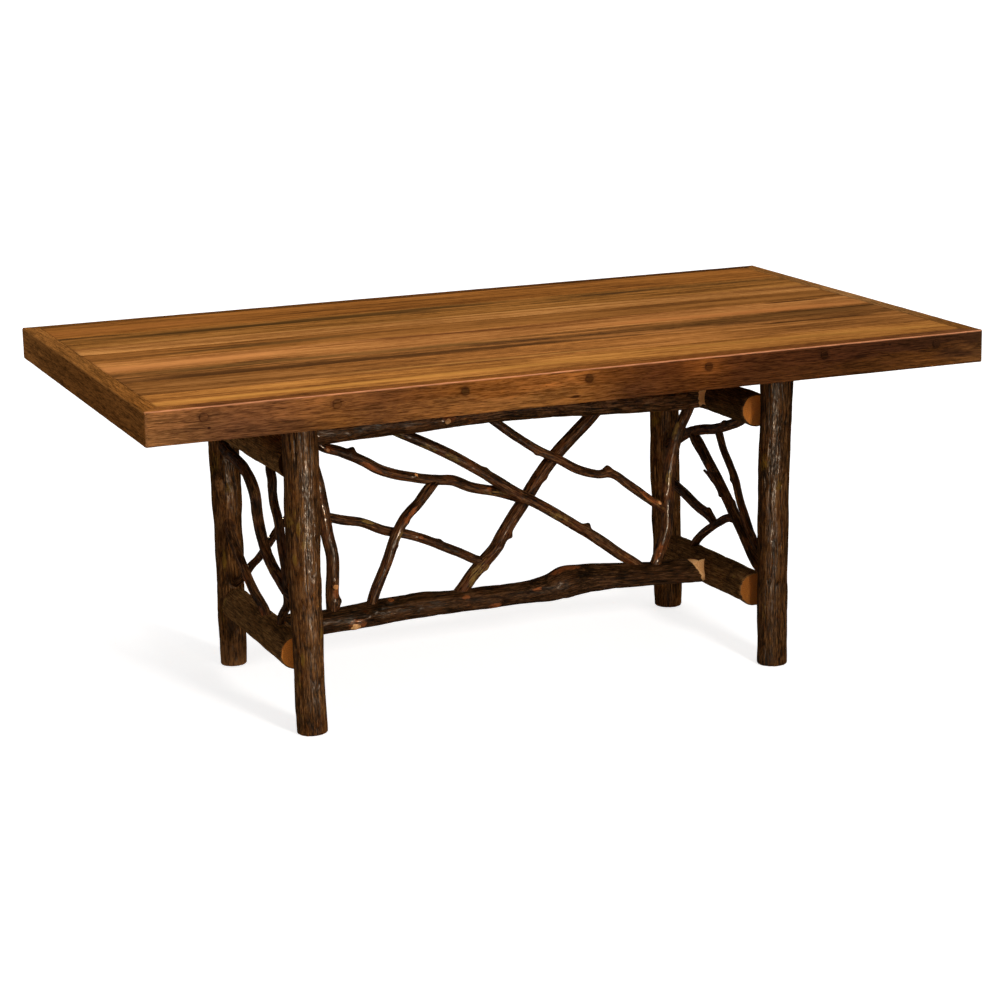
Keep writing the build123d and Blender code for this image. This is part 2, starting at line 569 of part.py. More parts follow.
# ---------------------------------------------------------------- battens under the planks
for number, (place, batten_x) in enumerate(BATTEN_PLACES.items()):
    first = number * len(PLANK_PARTS)
    with BuildPart() as batten:
        with Locations((batten_x, 0, RIM_BOTTOM)):
            Box(BATTEN_WIDTH, INNER_WIDTH - 2 * BATTEN_END_GAP, batten_height, align=BASE_END)
        add(pins(widened(batten_heads[first:first + len(PLANK_PARTS)])), mode=Mode.SUBTRACT)
        add(pins(widened(batten_shanks[first:first + len(PLANK_PARTS)])), mode=Mode.SUBTRACT)
        if place.endswith("leg"):
            add(pins(widened(bolt_shanks)), mode=Mode.SUBTRACT)
            for top in leg_tops:
                with Locations((top.X, top.Y, pocket_floor)):
                    Cylinder(WASHER_RADIUS + 2 * FIT, BOLT_POCKET_DEPTH, align=BASE_END, mode=Mode.SUBTRACT)
    finish(batten, "batten_" + place)

with BuildPart() as batten_screws:
    add(pins(batten_heads))
    add(pins(batten_shanks))
finish(batten_screws, "batten_screws")

with BuildPart() as leg_bolts:
    add(pins(bolt_shanks))
    for top in leg_tops:
        with BuildSketch(Plane.XY.offset(pocket_floor + WASHER_THICKNESS)):
            with Locations((top.X, top.Y)):
                RegularPolygon(BOLT_HEAD_RADIUS, 6)
        extrude(amount=BOLT_HEAD_HEIGHT)
finish(leg_bolts, "leg_bolts")

with BuildPart() as bolt_washers:
    for top in leg_tops:
        with Locations((top.X, top.Y, pocket_floor)):
            Cylinder(WASHER_RADIUS, WASHER_THICKNESS, align=BASE_END)
            Cylinder(BOLT_RADIUS + FIT, WASHER_THICKNESS, align=BASE_END, mode=Mode.SUBTRACT)
finish(bolt_washers, "bolt_washers")

# ---------------------------------------------------------------- legs
for corner in LEG_SHAPES:
    name = "leg_" + corner
    with BuildPart() as leg:
        add(pole(name))
        chamfer(leg.faces().filter_by(Plane.XY).sort_by(Axis.Z)[0].edges(), FOOT_CHAMFER)
        add(pins(HOLES[name]), mode=Mode.SUBTRACT)
    finish(leg, name)

# ---------------------------------------------------------------- cross logs
for side in CROSS_LOG_SHAPES:
    name = "cross_log_" + side
    with BuildPart() as log:
        add(pole(name))
        chamfer(log.faces().filter_by(Plane.XZ).edges(), SHOULDER_CHAMFER)
        add(pins(TENONS[name]))
        add(pins(HOLES[name]), mode=Mode.SUBTRACT)
    finish(log, name)

# ---------------------------------------------------------------- long rails
for name, left_log, right_log, facet_turn in (
    ("stretcher", "cross_log_lower_left", "cross_log_lower_right", STRETCHER_FACET_TURN),
    ("long_rail_upper", "cross_log_upper_left", "cross_log_upper_right", UPPER_FACET_TURN),
):
    with BuildPart() as rail:
        add(pole(name))
        add(pole(left_log, FIT), mode=Mode.SUBTRACT)
        add(pole(right_log, FIT), mode=Mode.SUBTRACT)
        # The bark is pared away on the front of the right end, in one flat cut.
        log_centre, log_radius, _ = nearest_on(TIMBERS[right_log], TIMBERS[name][-1][0])
        cut_start = log_centre - X_AXIS * (log_radius + FACET_LENGTH)
        centre, radius, _ = nearest_on(TIMBERS[name], cut_start)
        outward = -Y_AXIS * cos(radians(facet_turn)) + Z_AXIS * sin(radians(facet_turn))
        slope = outward * cos(radians(FACET_ANGLE)) + X_AXIS * sin(radians(FACET_ANGLE))
        with Locations(Plane(origin=centre + outward * radius, z_dir=slope)):
            Box(4 * FACET_LENGTH, 4 * FACET_LENGTH, FACET_LENGTH, align=BASE_END, mode=Mode.SUBTRACT)
        add(pins(TENONS[name]))
        add(pins(HOLES[name]), mode=Mode.SUBTRACT)
    finish(rail, name)

# ---------------------------------------------------------------- branches
for name, shape in (CENTRE_BRANCHES | LEFT_BRANCHES | RIGHT_BRANCHES).items():
    with BuildPart() as blank:
        add(pole(name))
        for neighbour in (shape[0], shape[1]) + SCRIBED.get(name, ()):
            add(pole(neighbour, FIT), mode=Mode.SUBTRACT)
    with BuildPart() as wood:
        add(blank.part.solids().sort_by(SortBy.VOLUME)[-1])
        add(pins(TENONS[name]))
        if HOLES[name]:
            add(pins(HOLES[name]), mode=Mode.SUBTRACT)
    finish(wood, name)

with BuildPart() as crossing_nails:
    add(pins(NAILS))
finish(crossing_nails, "crossing_nails")
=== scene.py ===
import math

import bpy
import numpy as np
from mathutils import Matrix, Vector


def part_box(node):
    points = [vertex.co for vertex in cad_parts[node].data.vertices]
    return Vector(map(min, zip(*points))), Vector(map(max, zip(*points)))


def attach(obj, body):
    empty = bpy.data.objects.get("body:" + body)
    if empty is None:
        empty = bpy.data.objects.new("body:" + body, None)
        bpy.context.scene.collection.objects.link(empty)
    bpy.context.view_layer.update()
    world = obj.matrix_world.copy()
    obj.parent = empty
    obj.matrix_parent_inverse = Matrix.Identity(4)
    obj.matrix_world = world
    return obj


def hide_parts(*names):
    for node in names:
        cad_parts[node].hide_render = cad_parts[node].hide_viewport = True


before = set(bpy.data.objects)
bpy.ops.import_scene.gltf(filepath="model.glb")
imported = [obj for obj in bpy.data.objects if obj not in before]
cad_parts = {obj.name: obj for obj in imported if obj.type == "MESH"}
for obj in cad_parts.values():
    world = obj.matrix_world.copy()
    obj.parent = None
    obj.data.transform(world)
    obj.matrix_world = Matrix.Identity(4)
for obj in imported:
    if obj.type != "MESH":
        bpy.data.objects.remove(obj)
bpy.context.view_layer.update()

# ------------------------------------------------------------------ legs
# Four hickory saplings with the bark left on, sawn square at both ends. They stand on
# the floor and are bolted up into battens under the planks.

# Stations up each leg, in metres: X, Y, Z and the radius over the bark.
legs = {
    "leg_front_left": (
        (-0.5285, -0.278, 0.0004, 0.0330), (-0.5310, -0.278, 0.200, 0.0324),
        (-0.5320, -0.278, 0.412, 0.0355), (-0.5300, -0.278, 0.538, 0.0365),
        (-0.5290, -0.278, 0.692, 0.0368)),
    "leg_front_right": (
        (0.5530, -0.260, 0.0004, 0.0335), (0.5550, -0.260, 0.235, 0.0332), (0.5565, -0.260, 0.372, 0.0342),
        (0.5590, -0.260, 0.485, 0.0343), (0.5640, -0.260, 0.596, 0.0360), (0.5655, -0.260, 0.692, 0.0364)),
    "leg_back_left": (
        (-0.5340, 0.274, 0.0004, 0.0298), (-0.5325, 0.274, 0.170, 0.0315), (-0.5325, 0.274, 0.286, 0.0318),
        (-0.5330, 0.274, 0.440, 0.0332), (-0.5330, 0.274, 0.692, 0.0347)),
    "leg_back_right": (
        (0.5535, 0.277, 0.0004, 0.0328), (0.5520, 0.277, 0.159, 0.0346), (0.5490, 0.277, 0.300, 0.0342),
        (0.5480, 0.277, 0.450, 0.0346), (0.5470, 0.277, 0.692, 0.0356)),
}
# Points round a leg, metres between its rings, the rounding of its ends and its first seed.
LEG_RING = 216
LEG_STEP = 0.003
FOOT_ROUNDING = 0.004
LEG_SEED = 10
# A curve is first traced at this many places for each of its stations.
CURVE_SAMPLES = 40


def curve_through(stations, step):
    """Evenly spaced places on a smooth curve through the stations, and how far along it each lies.

    Between two stations the curve is the cubic Hermite piece, whose slope at a station is the
    weighted mean of the slopes of the straight runs on both sides. The radius, the fourth
    value of a station, follows the same curve.
    """
    stations = np.asarray(stations, float)
    chord = np.concatenate([[0], np.cumsum(np.linalg.norm(np.diff(stations[:, :3], axis=0), axis=1))])
    slope = np.gradient(stations, chord, axis=0)
    at = np.linspace(0, chord[-1], CURVE_SAMPLES * len(stations))
    piece = np.clip(np.searchsorted(chord, at, side="right") - 1, 0, len(stations) - 2)
    width = (chord[piece + 1] - chord[piece])[:, None]
    t = (at - chord[piece])[:, None] / width
    curve = (
        (2 * t**3 - 3 * t**2 + 1) * stations[piece] + (t**3 - 2 * t**2 + t) * width * slope[piece]
        + (3 * t**2 - 2 * t**3) * stations[piece + 1] + (t**3 - t**2) * width * slope[piece + 1]
    )
    run = np.concatenate([[0], np.cumsum(np.linalg.norm(np.diff(curve[:, :3], axis=0), axis=1))])
    even = np.linspace(0, run[-1], int(run[-1] / step) + 2)
    return np.stack([np.interp(even, run, curve[:, k]) for k in range(4)], axis=1), even


def cell_noise(rng, around, along, turn, share):
    """Smooth noise from 0 to 1 over a log's skin, which closes on itself round the log.

    Random values stand on a lattice of `around` by `along` cells. Between them the value is
    blended both ways with the weight 3t² - 2t³.
    """
    lattice = rng.random((along + 2, around))
    u = turn * around
    v = share * along
    column = np.floor(u).astype(int)
    row = np.clip(np.floor(v).astype(int), 0, along)
    s = u - column
    t = np.clip(v - row, 0, 1)
    s = s * s * (3 - 2 * s)
    t = t * t * (3 - 2 * t)
    left, right = column % around, (column + 1) % around
    low = lattice[row, left] * (1 - s) + lattice[row, right] * s
    high = lattice[row + 1, left] * (1 - s) + lattice[row + 1, right] * s
    return low * (1 - t) + high * t


# The layers of the bark's relief: the weight of each, and how much finer its furrows are than
# the widest ones. Then how steep a furrow's sides are, and the power that keeps the ridges full.
BARK_LAYERS = ((0.55, 1.0), (0.30, 2.1), (0.15, 4.3))
FURROW_SLOPE = 2.6
FURROW_POWER = 0.7
# The furrows sway sideways by a share of the girth, once in so many metres.
FURROW_SWAY = 0.05
SWAY_LENGTH = 0.09


def bark_relief(rng, turn, share, girth, length, ridge_width, ridge_length):
    """Height of the bark, from 0 in a furrow to 1 on a ridge.

    A furrow is where a smooth noise, stretched along the log, passes its middle value, so the
    furrows branch and join. The noise is bent sideways by a broader one. With n the noise, one
    size of furrow has the height |2n - 1| times the slope, held within 0 to 1 and raised to the
    power. Three sizes are added, each by its own weight.
    """
    bend = cell_noise(rng, 7, max(int(length / SWAY_LENGTH), 2), turn, share) - 0.5
    bent = (turn + FURROW_SWAY * bend) % 1.0
    height = 0.0
    for part, finer in BARK_LAYERS:
        around = max(int(girth / ridge_width * finer / 2), 5)
        along = max(int(length / ridge_length * finer), 3)
        wave = cell_noise(rng, around, along, bent, share)
        height = height + part * np.clip(np.abs(2 * wave - 1) * FURROW_SLOPE, 0, 1) ** FURROW_POWER
    return height


def ring_frame(centres, side):
    """Two unit directions across the log at each centre: the first leans to `side`, and the
    second completes a right-handed set with the log's own direction."""
    along = np.gradient(centres, axis=0)
    along /= np.linalg.norm(along, axis=1, keepdims=True)
    first = side - along * (along @ side)[:, None]
    first /= np.linalg.norm(first, axis=1, keepdims=True)
    return first, np.cross(along, first)


def closed_mesh(name, grid, values):
    """A closed mesh from a grid of points, rows along the piece and columns round it. A point
    in the middle of each end ring closes it. `values` are numbers per point for the material."""
    rows, columns = grid.shape[:2]
    points = np.concatenate([grid.reshape(-1, 3), grid[[0, -1]].mean(axis=1)])
    row = np.arange(rows - 1)[:, None] * columns
    column = np.arange(columns)
    after = (column + 1) % columns
    quads = np.stack([row + column, row + after, row + columns + after, row + columns + column], axis=-1)
    last = (rows - 1) * columns
    first_end = np.stack([np.full(columns, rows * columns), after, column], axis=-1)
    last_end = np.stack([np.full(columns, rows * columns + 1), last + column, last + after], axis=-1)
    faces = quads.reshape(-1, 4).tolist() + first_end.tolist() + last_end.tolist()
    mesh = bpy.data.meshes.new(name)
    mesh.from_pydata(points.tolist(), [], faces)
    for label, value in values.items():
        ends = value[[0, -1]].mean(axis=1)
        if value.ndim == 3:
            layer = mesh.attributes.new(label, "FLOAT_VECTOR", "POINT")
            layer.data.foreach_set("vector", np.concatenate([value.reshape(-1, 3), ends]).ravel())
        else:
            layer = mesh.attributes.new(label, "FLOAT", "POINT")
            layer.data.foreach_set("value", np.concatenate([value.ravel(), ends]))
    mesh.polygons.foreach_set("use_smooth", np.ones(len(faces), bool))
    piece = bpy.data.objects.new(name, mesh)
    bpy.context.scene.collection.objects.link(piece)
    return piece


# The rings that close a timber's end: how far along the rounding each stands, and its share
# of the full radius.
END_PLACES = (0, 0, 0, 0, 0, 0.08, 0.25, 0.5, 0.75)
END_SHARES = (0.3, 0.6, 0.85, 0.97, 1, 1, 1, 1, 1)
# The bark's height that lies at the timber's own radius, how far the skin strays from round in
# depths of bark, and the length of one stray.
BARK_LEVEL = 0.8
STRAY = 1.6
STRAY_LENGTH = 0.05
# A cut shows wood from this depth on, and only where the skin faces it by more than this cosine.
CUT_FADE = 0.0012
CUT_FACING = 0.05


def round_timber(name, stations, side, columns, step, depth, ridge_width, ridge_length,
                 rounding=0.004, knots=(), marks=(), cuts=(), seed=0):
    """A barked log or branch as a grid of points and values for its bark.

    At the distance s along the centre curve and the angle a round it, a point lies at
    centre(s) + R(s, a) · (cos a · first + sin a · second). R is the radius, plus the bark's
    relief, plus a bell for each knot, h · exp(-(d / w)²) with d the distance over the skin.
    A cut is a plane (point, normal): R goes no further than it. Both ends are rounded over
    by a quarter circle and closed flat. Where a cut or an end shows wood, `bare` is 1. A mark
    is an oval patch of one kind: pale wood, moss, or the inner bark where the outer has gone.
    """
    rng = np.random.default_rng(seed)
    path, run = curve_through(stations, step)
    length = run[-1]
    ease = np.array(END_PLACES) * rounding
    inset = np.array(END_SHARES)
    inner = run[(run > rounding) & (run < length - rounding)]
    places = np.concatenate([ease, inner, length - ease[::-1]])
    inset = np.concatenate([inset, np.ones(len(inner)), inset[::-1]])
    path = np.stack([np.interp(places, run, path[:, k]) for k in range(4)], axis=1)
    centres, radius = path[:, :3], path[:, 3:]
    smooth_centres = np.stack([np.interp(run, places, centres[:, k]) for k in range(3)], axis=1)
    first, second = ring_frame(smooth_centres, np.asarray(side, float))
    first = np.stack([np.interp(places, run, first[:, k]) for k in range(3)], axis=1)
    second = np.stack([np.interp(places, run, second[:, k]) for k in range(3)], axis=1)

    turn = (np.arange(columns) / columns)[None, :]
    angle = 2 * math.pi * turn
    share = (places / length)[:, None]
    girth = 2 * math.pi * radius.mean()
    relief = bark_relief(rng, turn, share, girth, length, ridge_width, ridge_length)
    stray = cell_noise(rng, 5, max(int(length / STRAY_LENGTH), 2), turn, share) - 0.5
    from_end = np.minimum(places, length - places)[:, None]
    rounded = 1 - np.sqrt(np.clip(1 - (1 - np.clip(from_end / rounding, 0, 1)) ** 2, 0, 1))
    skin = radius + (relief - BARK_LEVEL) * depth + stray * STRAY * depth - rounded * rounding
    for at, knot_turn, spread, height in knots:
        across = (turn - knot_turn + 0.5) % 1.0 - 0.5
        distance = np.hypot(places[:, None] - at * length, across * 2 * math.pi * radius)
        skin = skin + height * np.exp(-((distance / spread) ** 2))
    direction = np.cos(angle)[..., None] * first[:, None] + np.sin(angle)[..., None] * second[:, None]
    bare = np.clip(rounded * 1.6 - 0.35, 0, 1) * np.ones_like(skin)
    for point, normal in cuts:
        normal = np.asarray(normal, float) / np.linalg.norm(normal)
        room = (np.asarray(point) - centres) @ normal
        lean = direction @ normal
        reach = np.where(lean > CUT_FACING, room[:, None] / np.maximum(lean, CUT_FACING), np.inf)
        bare = np.maximum(bare, np.clip((skin - reach) / CUT_FADE, 0, 1))
        skin = np.minimum(skin, reach)
    patches = {"wood": bare, "moss": np.zeros_like(skin), "inner": np.zeros_like(skin)}
    for kind, at, mark_turn, long, wide in marks:
        across = (turn - mark_turn + 0.5) % 1.0 - 0.5
        distance = np.hypot((places[:, None] - at * length) / long, across * 2 * math.pi * radius / wide)
        patches[kind] = np.maximum(patches[kind], np.clip(1.5 - distance, 0, 1))
    skin = skin * inset[:, None]
    grid = centres[:, None] + skin[..., None] * direction
    bark = np.stack([skin * np.cos(angle), skin * np.sin(angle), places[:, None] + 0 * skin], axis=-1)
    return closed_mesh(name, grid, {
        "bark": bark, "crest": relief * np.ones_like(skin), "bare": patches["wood"],
        "moss": patches["moss"], "inner": patches["inner"]})


def node(tree, kind, sockets=None, **settings):
    """A shader node. Each entry of `sockets` is an input and its value, or the output to join to it."""
    made = tree.nodes.new("ShaderNode" + kind)
    for key, value in settings.items():
        setattr(made, key, value)
    for socket, value in (sockets or {}).items():
        if isinstance(value, bpy.types.NodeSocket):
            tree.links.new(value, made.inputs[socket])
        else:
            made.inputs[socket].default_value = value
    return made


def seen(red, green, blue):
    """A colour as an eye sees it on paper, in 0 to 255, as the linear colour that a shader takes."""
    value = np.array([red, green, blue]) / 255
    linear = np.where(value <= 0.04045, value / 12.92, ((value + 0.055) / 1.055) ** 2.4)
    return (*linear.tolist(), 1.0)


def ramp(tree, factor, stops):
    """A colour ramp's output, from stops of place and colour."""
    made = node(tree, "ValToRGB", {0: factor})
    elements = made.color_ramp.elements
    while len(elements) < len(stops):
        elements.new(0.5)
    for element, (place, colour) in zip(elements, stops):
        element.position = place
        element.color = colour if isinstance(colour, tuple) else (colour, colour, colour, 1)
    return made.outputs[0]


def noise(tree, vector, scale, detail=3.0, roughness=0.55, distortion=0.0):
    """Noise from 0 to 1 at so many features a metre."""
    made = node(tree, "TexNoise", {
        "Vector": vector, "Scale": scale, "Detail": detail, "Roughness": roughness,
        "Distortion": distortion})
    return made.outputs[0]


def stretched(tree, vector, scale, shift=(0, 0, 0)):
    """The coordinates, stretched by the scale and moved by the shift."""
    return node(tree, "Mapping", {"Vector": vector, "Scale": scale, "Location": shift}).outputs[0]


def math_node(tree, operation, first, second, clamp=False):
    """The result of one sum on two numbers or outputs."""
    return node(tree, "Math", {0: first, 1: second}, operation=operation, use_clamp=clamp).outputs[0]


def mixed(tree, factor, first, second, blend="MIX"):
    """Two colours mixed by a factor."""
    made = node(tree, "Mix", {0: factor, 6: first, 7: second}, data_type="RGBA", blend_type=blend)
    return made.outputs[2]


def tinted(tree, colour, shade):
    """A colour times a shade."""
    return mixed(tree, 1.0, colour, shade, "MULTIPLY")


def weighed(tree, *terms, less=0.0):
    """The sum of some outputs, each times its weight, less a number that brings it near a half."""
    total = math_node(tree, "MULTIPLY", *terms[0])
    for output, weight in terms[1:]:
        total = math_node(tree, "ADD", total, math_node(tree, "MULTIPLY", output, weight))
    return math_node(tree, "SUBTRACT", total, less) if less else total


def crease(tree, pattern, half_width, inside, beyond):
    """Thin lines where a pattern passes its middle value: one value inside them, one beyond."""
    aside = math_node(tree, "ABSOLUTE", math_node(tree, "SUBTRACT", pattern, 0.5), 0.0)
    return ramp(tree, aside, [(0.0, inside), (half_width, beyond)])


def from_middle(tree, across, up):
    """How far a point lies from the middle, by its two coordinates."""
    point = node(tree, "CombineXYZ", {0: across, 1: up, 2: 0.0}).outputs[0]
    return node(tree, "VectorMath", {0: point}, operation="LENGTH").outputs["Value"]


def attribute(tree, name, output):
    """A value that the mesh carries at each of its points."""
    return node(tree, "Attribute", attribute_name=name).outputs[output]


def new_finish(name):
    """A new material, its node tree and its main shader."""
    material = bpy.data.materials.new(name)
    material.use_nodes = True
    return material, material.node_tree, material.node_tree.nodes["Principled BSDF"]


def give_relief(tree, shader, height, depth, strength=1.0, socket="Normal"):
    """Shades the surface as if the height, from 0 to 1, stood up by a depth in metres."""
    raised = node(tree, "Bump", {"Height": height, "Distance": depth, "Strength": strength})
    tree.links.new(raised.outputs[0], shader.inputs[socket])


# The lacquer over the bark bends light this much. A sawn end's rings stand at so many radians a
# metre from the heart, which is 2.4 mm apart, and waver by so many metres.
LACQUER_IOR = 3.0
RING_PHASE = 2600
RING_WAVER = 0.004
# The coat's relief is softer than the bark's by this share.
COAT_RELIEF = 0.22


def bark_material(name, colours, inner, wood, lichen_reach, thread, ridged, gloss, shine, bump):
    """Lacquered bark. Fine threads run along the log, dark between and paler on top. Broad
    patches are warmer, some hold lichen, and ringed wood shows where `bare` is 1.

    The pattern runs on the log's own coordinates. `colours` are those of the furrows, the body,
    the warm patches, the ridges and the lichen, and `inner` is that of the inner bark. `wood`
    holds the light and the dark of bare wood. `thread` is how many threads go to a metre of
    girth, and `ridged` is how much of the tone comes from the modelled ridges. The lacquer is a
    thin coat that shines by `shine`, in glints, with a softer relief than the bark. `gloss` is
    its roughness on the ridges and in the furrows.
    """
    furrow, body, warm, ridge, lichen = colours
    material, tree, shader = new_finish(name)
    skin = attribute(tree, "bark", "Vector")
    crest = attribute(tree, "crest", "Fac")
    threads = noise(tree, stretched(tree, skin, (1, 1, 0.07)), thread, 3, 0.65, 0.1)
    flakes = noise(tree, stretched(tree, skin, (1, 1, 0.16)), thread * 0.4, 4, 0.65, 0.5)
    hairs = noise(tree, stretched(tree, skin, (1, 1, 0.14)), thread * 1.8, 3, 0.65)
    blotch = noise(tree, skin, 16, 4, 0.65)
    cracks = noise(tree, stretched(tree, skin, (1, 1, 0.04)), thread * 0.45, 3, 0.55, 0.3)
    cracks = crease(tree, cracks, 0.045, 1.0, 0.0)
    tone = weighed(
        tree, (crest, ridged), (threads, 1.1), (flakes, 0.5), (hairs, 0.8), less=0.70 + 0.6 * ridged)
    hue = mixed(tree, ramp(tree, blotch, [(0.44, 0.0), (0.60, 1.0)]), body, warm)
    low = mixed(tree, ramp(tree, tone, [(0.32, 0.0), (0.48, 1.0)]), furrow, hue)
    colour = mixed(tree, ramp(tree, tone, [(0.55, 0.0), (0.74, 1.0)]), low, ridge)
    colour = mixed(tree, math_node(tree, "MULTIPLY", cracks, 0.75), colour, furrow)

    # Lichen and moss sit on the ridges, and stripped places show the inner bark.
    ragged = math_node(tree, "MULTIPLY", math_node(tree, "SUBTRACT", noise(tree, skin, 130, 3), 0.5), 0.9)
    patch = noise(tree, stretched(tree, skin, (1, 1, 0.6), (3.1, 1.7, 0.4)), 17, 5, 0.7)
    patch = ramp(tree, patch, [(lichen_reach, 0.0), (lichen_reach + 0.07, 1.0)])
    moss = math_node(tree, "ADD", attribute(tree, "moss", "Fac"), ragged)
    patch = math_node(tree, "MAXIMUM", patch, ramp(tree, moss, [(0.45, 0.0), (0.85, 0.9)]))
    speck = ramp(tree, tone, [(0.36, 0.0), (0.60, 0.9)])
    colour = mixed(tree, math_node(tree, "MULTIPLY", patch, speck), colour, lichen)
    stripped = math_node(tree, "ADD", attribute(tree, "inner", "Fac"), ragged)
    stripped = ramp(tree, stripped, [(0.45, 0.0), (0.80, 0.85)])
    colour = mixed(tree, stripped, colour, mixed(tree, speck, body, inner))

    # Bare wood, ringed round the heart.
    parts = node(tree, "SeparateXYZ", {0: skin})
    waver = math_node(tree, "MULTIPLY", noise(tree, skin, 60, 3), RING_WAVER)
    radial = math_node(tree, "ADD", from_middle(tree, parts.outputs[0], parts.outputs[1]), waver)
    rings = math_node(tree, "SINE", math_node(tree, "MULTIPLY", radial, RING_PHASE), 0.0)
    fibre = noise(tree, skin, 420, 3, 0.6)
    light, dark = wood
    ends = ramp(tree, weighed(tree, (rings, 0.12), (fibre, 0.8)), [(0.15, dark), (0.65, light)])
    bare = math_node(tree, "ADD", attribute(tree, "bare", "Fac"), ragged)
    bare = ramp(tree, bare, [(0.45, 0.0), (0.62, 1.0)])
    tree.links.new(mixed(tree, bare, colour, ends), shader.inputs["Base Color"])

    smooth, rough = gloss
    polish = ramp(tree, tone, [(0.40, rough), (0.62, smooth)])
    tree.links.new(polish, shader.inputs["Roughness"])
    tree.links.new(polish, shader.inputs["Coat Roughness"])
    shader.inputs["Specular IOR Level"].default_value = 0.0
    glints = noise(tree, stretched(tree, skin, (1, 1, 0.3)), 330, 2, 0.6)
    coat = ramp(tree, glints, [(0.44, 0.3 * shine), (0.64, 2.4 * shine)])
    tree.links.new(coat, shader.inputs["Coat Weight"])
    shader.inputs["Coat IOR"].default_value = LACQUER_IOR
    height = weighed(tree, (threads, 0.6), (hairs, 0.15), (flakes, 0.25), (cracks, -0.25))
    give_relief(tree, shader, height, bump)
    give_relief(tree, shader, height, COAT_RELIEF * bump, socket="Coat Normal")
    return material


def scaled_colour(share, *colour):
    """A colour as an eye sees it, made lighter or darker by a share. For the logs and the upper rail
    the share is painted light and shade; for the saplings and the pegs it is their own tone.
    """
    red, green, blue, alpha = seen(*colour)
    return (red * share, green * share, blue * share, alpha)


# The bark's furrows, body, warm patches, ridges and lichen.
LEG_BARK = ((22, 12, 4), (66, 40, 16), (84, 48, 18), (122, 82, 45), (116, 84, 30))
# How light each sapling's bark is and how much it shines, and its knots and marks.
leg_finish = {
    "leg_front_left": (0.88, 0.0066), "leg_front_right": (0.56, 0.0054),
    "leg_back_left": (1.00, 0.0040), "leg_back_right": (1.05, 0.0020)}
leg_knots = {"leg_back_left": ((0.615, 0.633, 0.013, 0.006),)}
leg_marks = {
    "leg_front_left": (
        ("moss", 0.641, 0.661, 0.018, 0.006), ("moss", 0.312, 0.878, 0.012, 0.008),
        ("moss", 0.238, 0.639, 0.016, 0.005), ("moss", 0.545, 0.617, 0.014, 0.005)),
    "leg_back_left": (
        ("inner", 0.610, 0.633, 0.018, 0.012), ("inner", 0.02, 0.75, 0.050, 0.075),
        ("moss", 0.359, 0.644, 0.030, 0.006)),
}

for index, (name, stations) in enumerate(legs.items()):
    leg = round_timber(
        name + "_log", stations, side=(1, 0, 0), columns=LEG_RING, step=LEG_STEP, depth=0.0021,
        ridge_width=0.0055, ridge_length=0.07, rounding=FOOT_ROUNDING,
        knots=leg_knots.get(name, ()), marks=leg_marks.get(name, ()), seed=LEG_SEED + index)
    light, shine = leg_finish[name]
    leg.data.materials.append(bark_material(
        name + "_bark", [scaled_colour(light, *colour) for colour in LEG_BARK], inner=seen(132, 90, 52),
        wood=(seen(196, 128, 66), seen(120, 66, 28)), lichen_reach=0.61, thread=380, ridged=0.30,
        gloss=(0.22, 0.42), shine=shine, bump=0.0028))
    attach(leg, "root")
    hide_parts(name)

# ------------------------------------------------------------------ cross logs
# Two logs at each end of the table, from front leg to back leg. Their sawn ends show
# beside the legs, and a turned tenon in each end sits in the leg.

cross_logs = {
    "cross_log_lower_left": ((-0.5430, -0.236, 0.163, 0.0355), (-0.5305, 0.236, 0.147, 0.0355)),
    "cross_log_lower_right": ((0.5340, -0.216, 0.162, 0.0375), (0.5520, 0.235, 0.143, 0.0375)),
    "cross_log_upper_left": ((-0.5310, -0.234, 0.565, 0.0355), (-0.5330, 0.233, 0.559, 0.0355)),
    "cross_log_upper_right": ((0.5410, -0.214, 0.567, 0.0365), (0.5500, 0.234, 0.553, 0.0365)),
}
# Points round a log, metres between its rings, the rounding of its ends and its first seed.
LOG_RING = 144
LOG_STEP = 0.003
SAWN_ROUNDING = 0.005
LOG_SEED = 20

# The bark's furrows, body, warm patches, ridges and lichen, and the inner bark.
LOG_BARK = ((32, 20, 9), (62, 41, 19), (70, 46, 22), (88, 63, 35), (86, 66, 30))
LOG_INNER = (96, 58, 30)
# How light each log's bark and its sawn ends are painted, as lit and darkened copies of one bark.
# Painted light: the bark of all but the upper right log is lightened about twofold against the
# shade it stands in, the lower left end likewise, and the upper right end a little. Painted
# shade: the upper left end is darkened nearly to black, and the lower right end a little.
log_painted_light = {
    "cross_log_lower_left": (2.2, 2.3), "cross_log_lower_right": (1.9, 0.75),
    "cross_log_upper_left": (2.3, 0.10), "cross_log_upper_right": (1.0, 1.20)}

for index, (name, stations) in enumerate(cross_logs.items()):
    log = round_timber(
        name + "_log", stations, side=(1, 0, 0), columns=LOG_RING, step=LOG_STEP, depth=0.0018,
        ridge_width=0.009, ridge_length=0.05, rounding=SAWN_ROUNDING, seed=LOG_SEED + index)
    # Painted light and shade: the log's bark and ends are scaled by its shares.
    light, end = log_painted_light[name]
    log.data.materials.append(bark_material(
        name + "_bark", [scaled_colour(light, *colour) for colour in LOG_BARK], inner=scaled_colour(light, *LOG_INNER),
        wood=(scaled_colour(end, 176, 106, 44), scaled_colour(end, 120, 66, 24)), lichen_reach=0.64, thread=380,
        ridged=0.25, gloss=(0.45, 0.60), shine=0.0025, bump=0.0016))
    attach(log, "root")
    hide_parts(name)

# ------------------------------------------------------------------ long rails
# The stretcher near the floor and the rail under the top join the cross logs at the
# middle. Their ends are scribed over the logs, and at the right the bark is pared off.

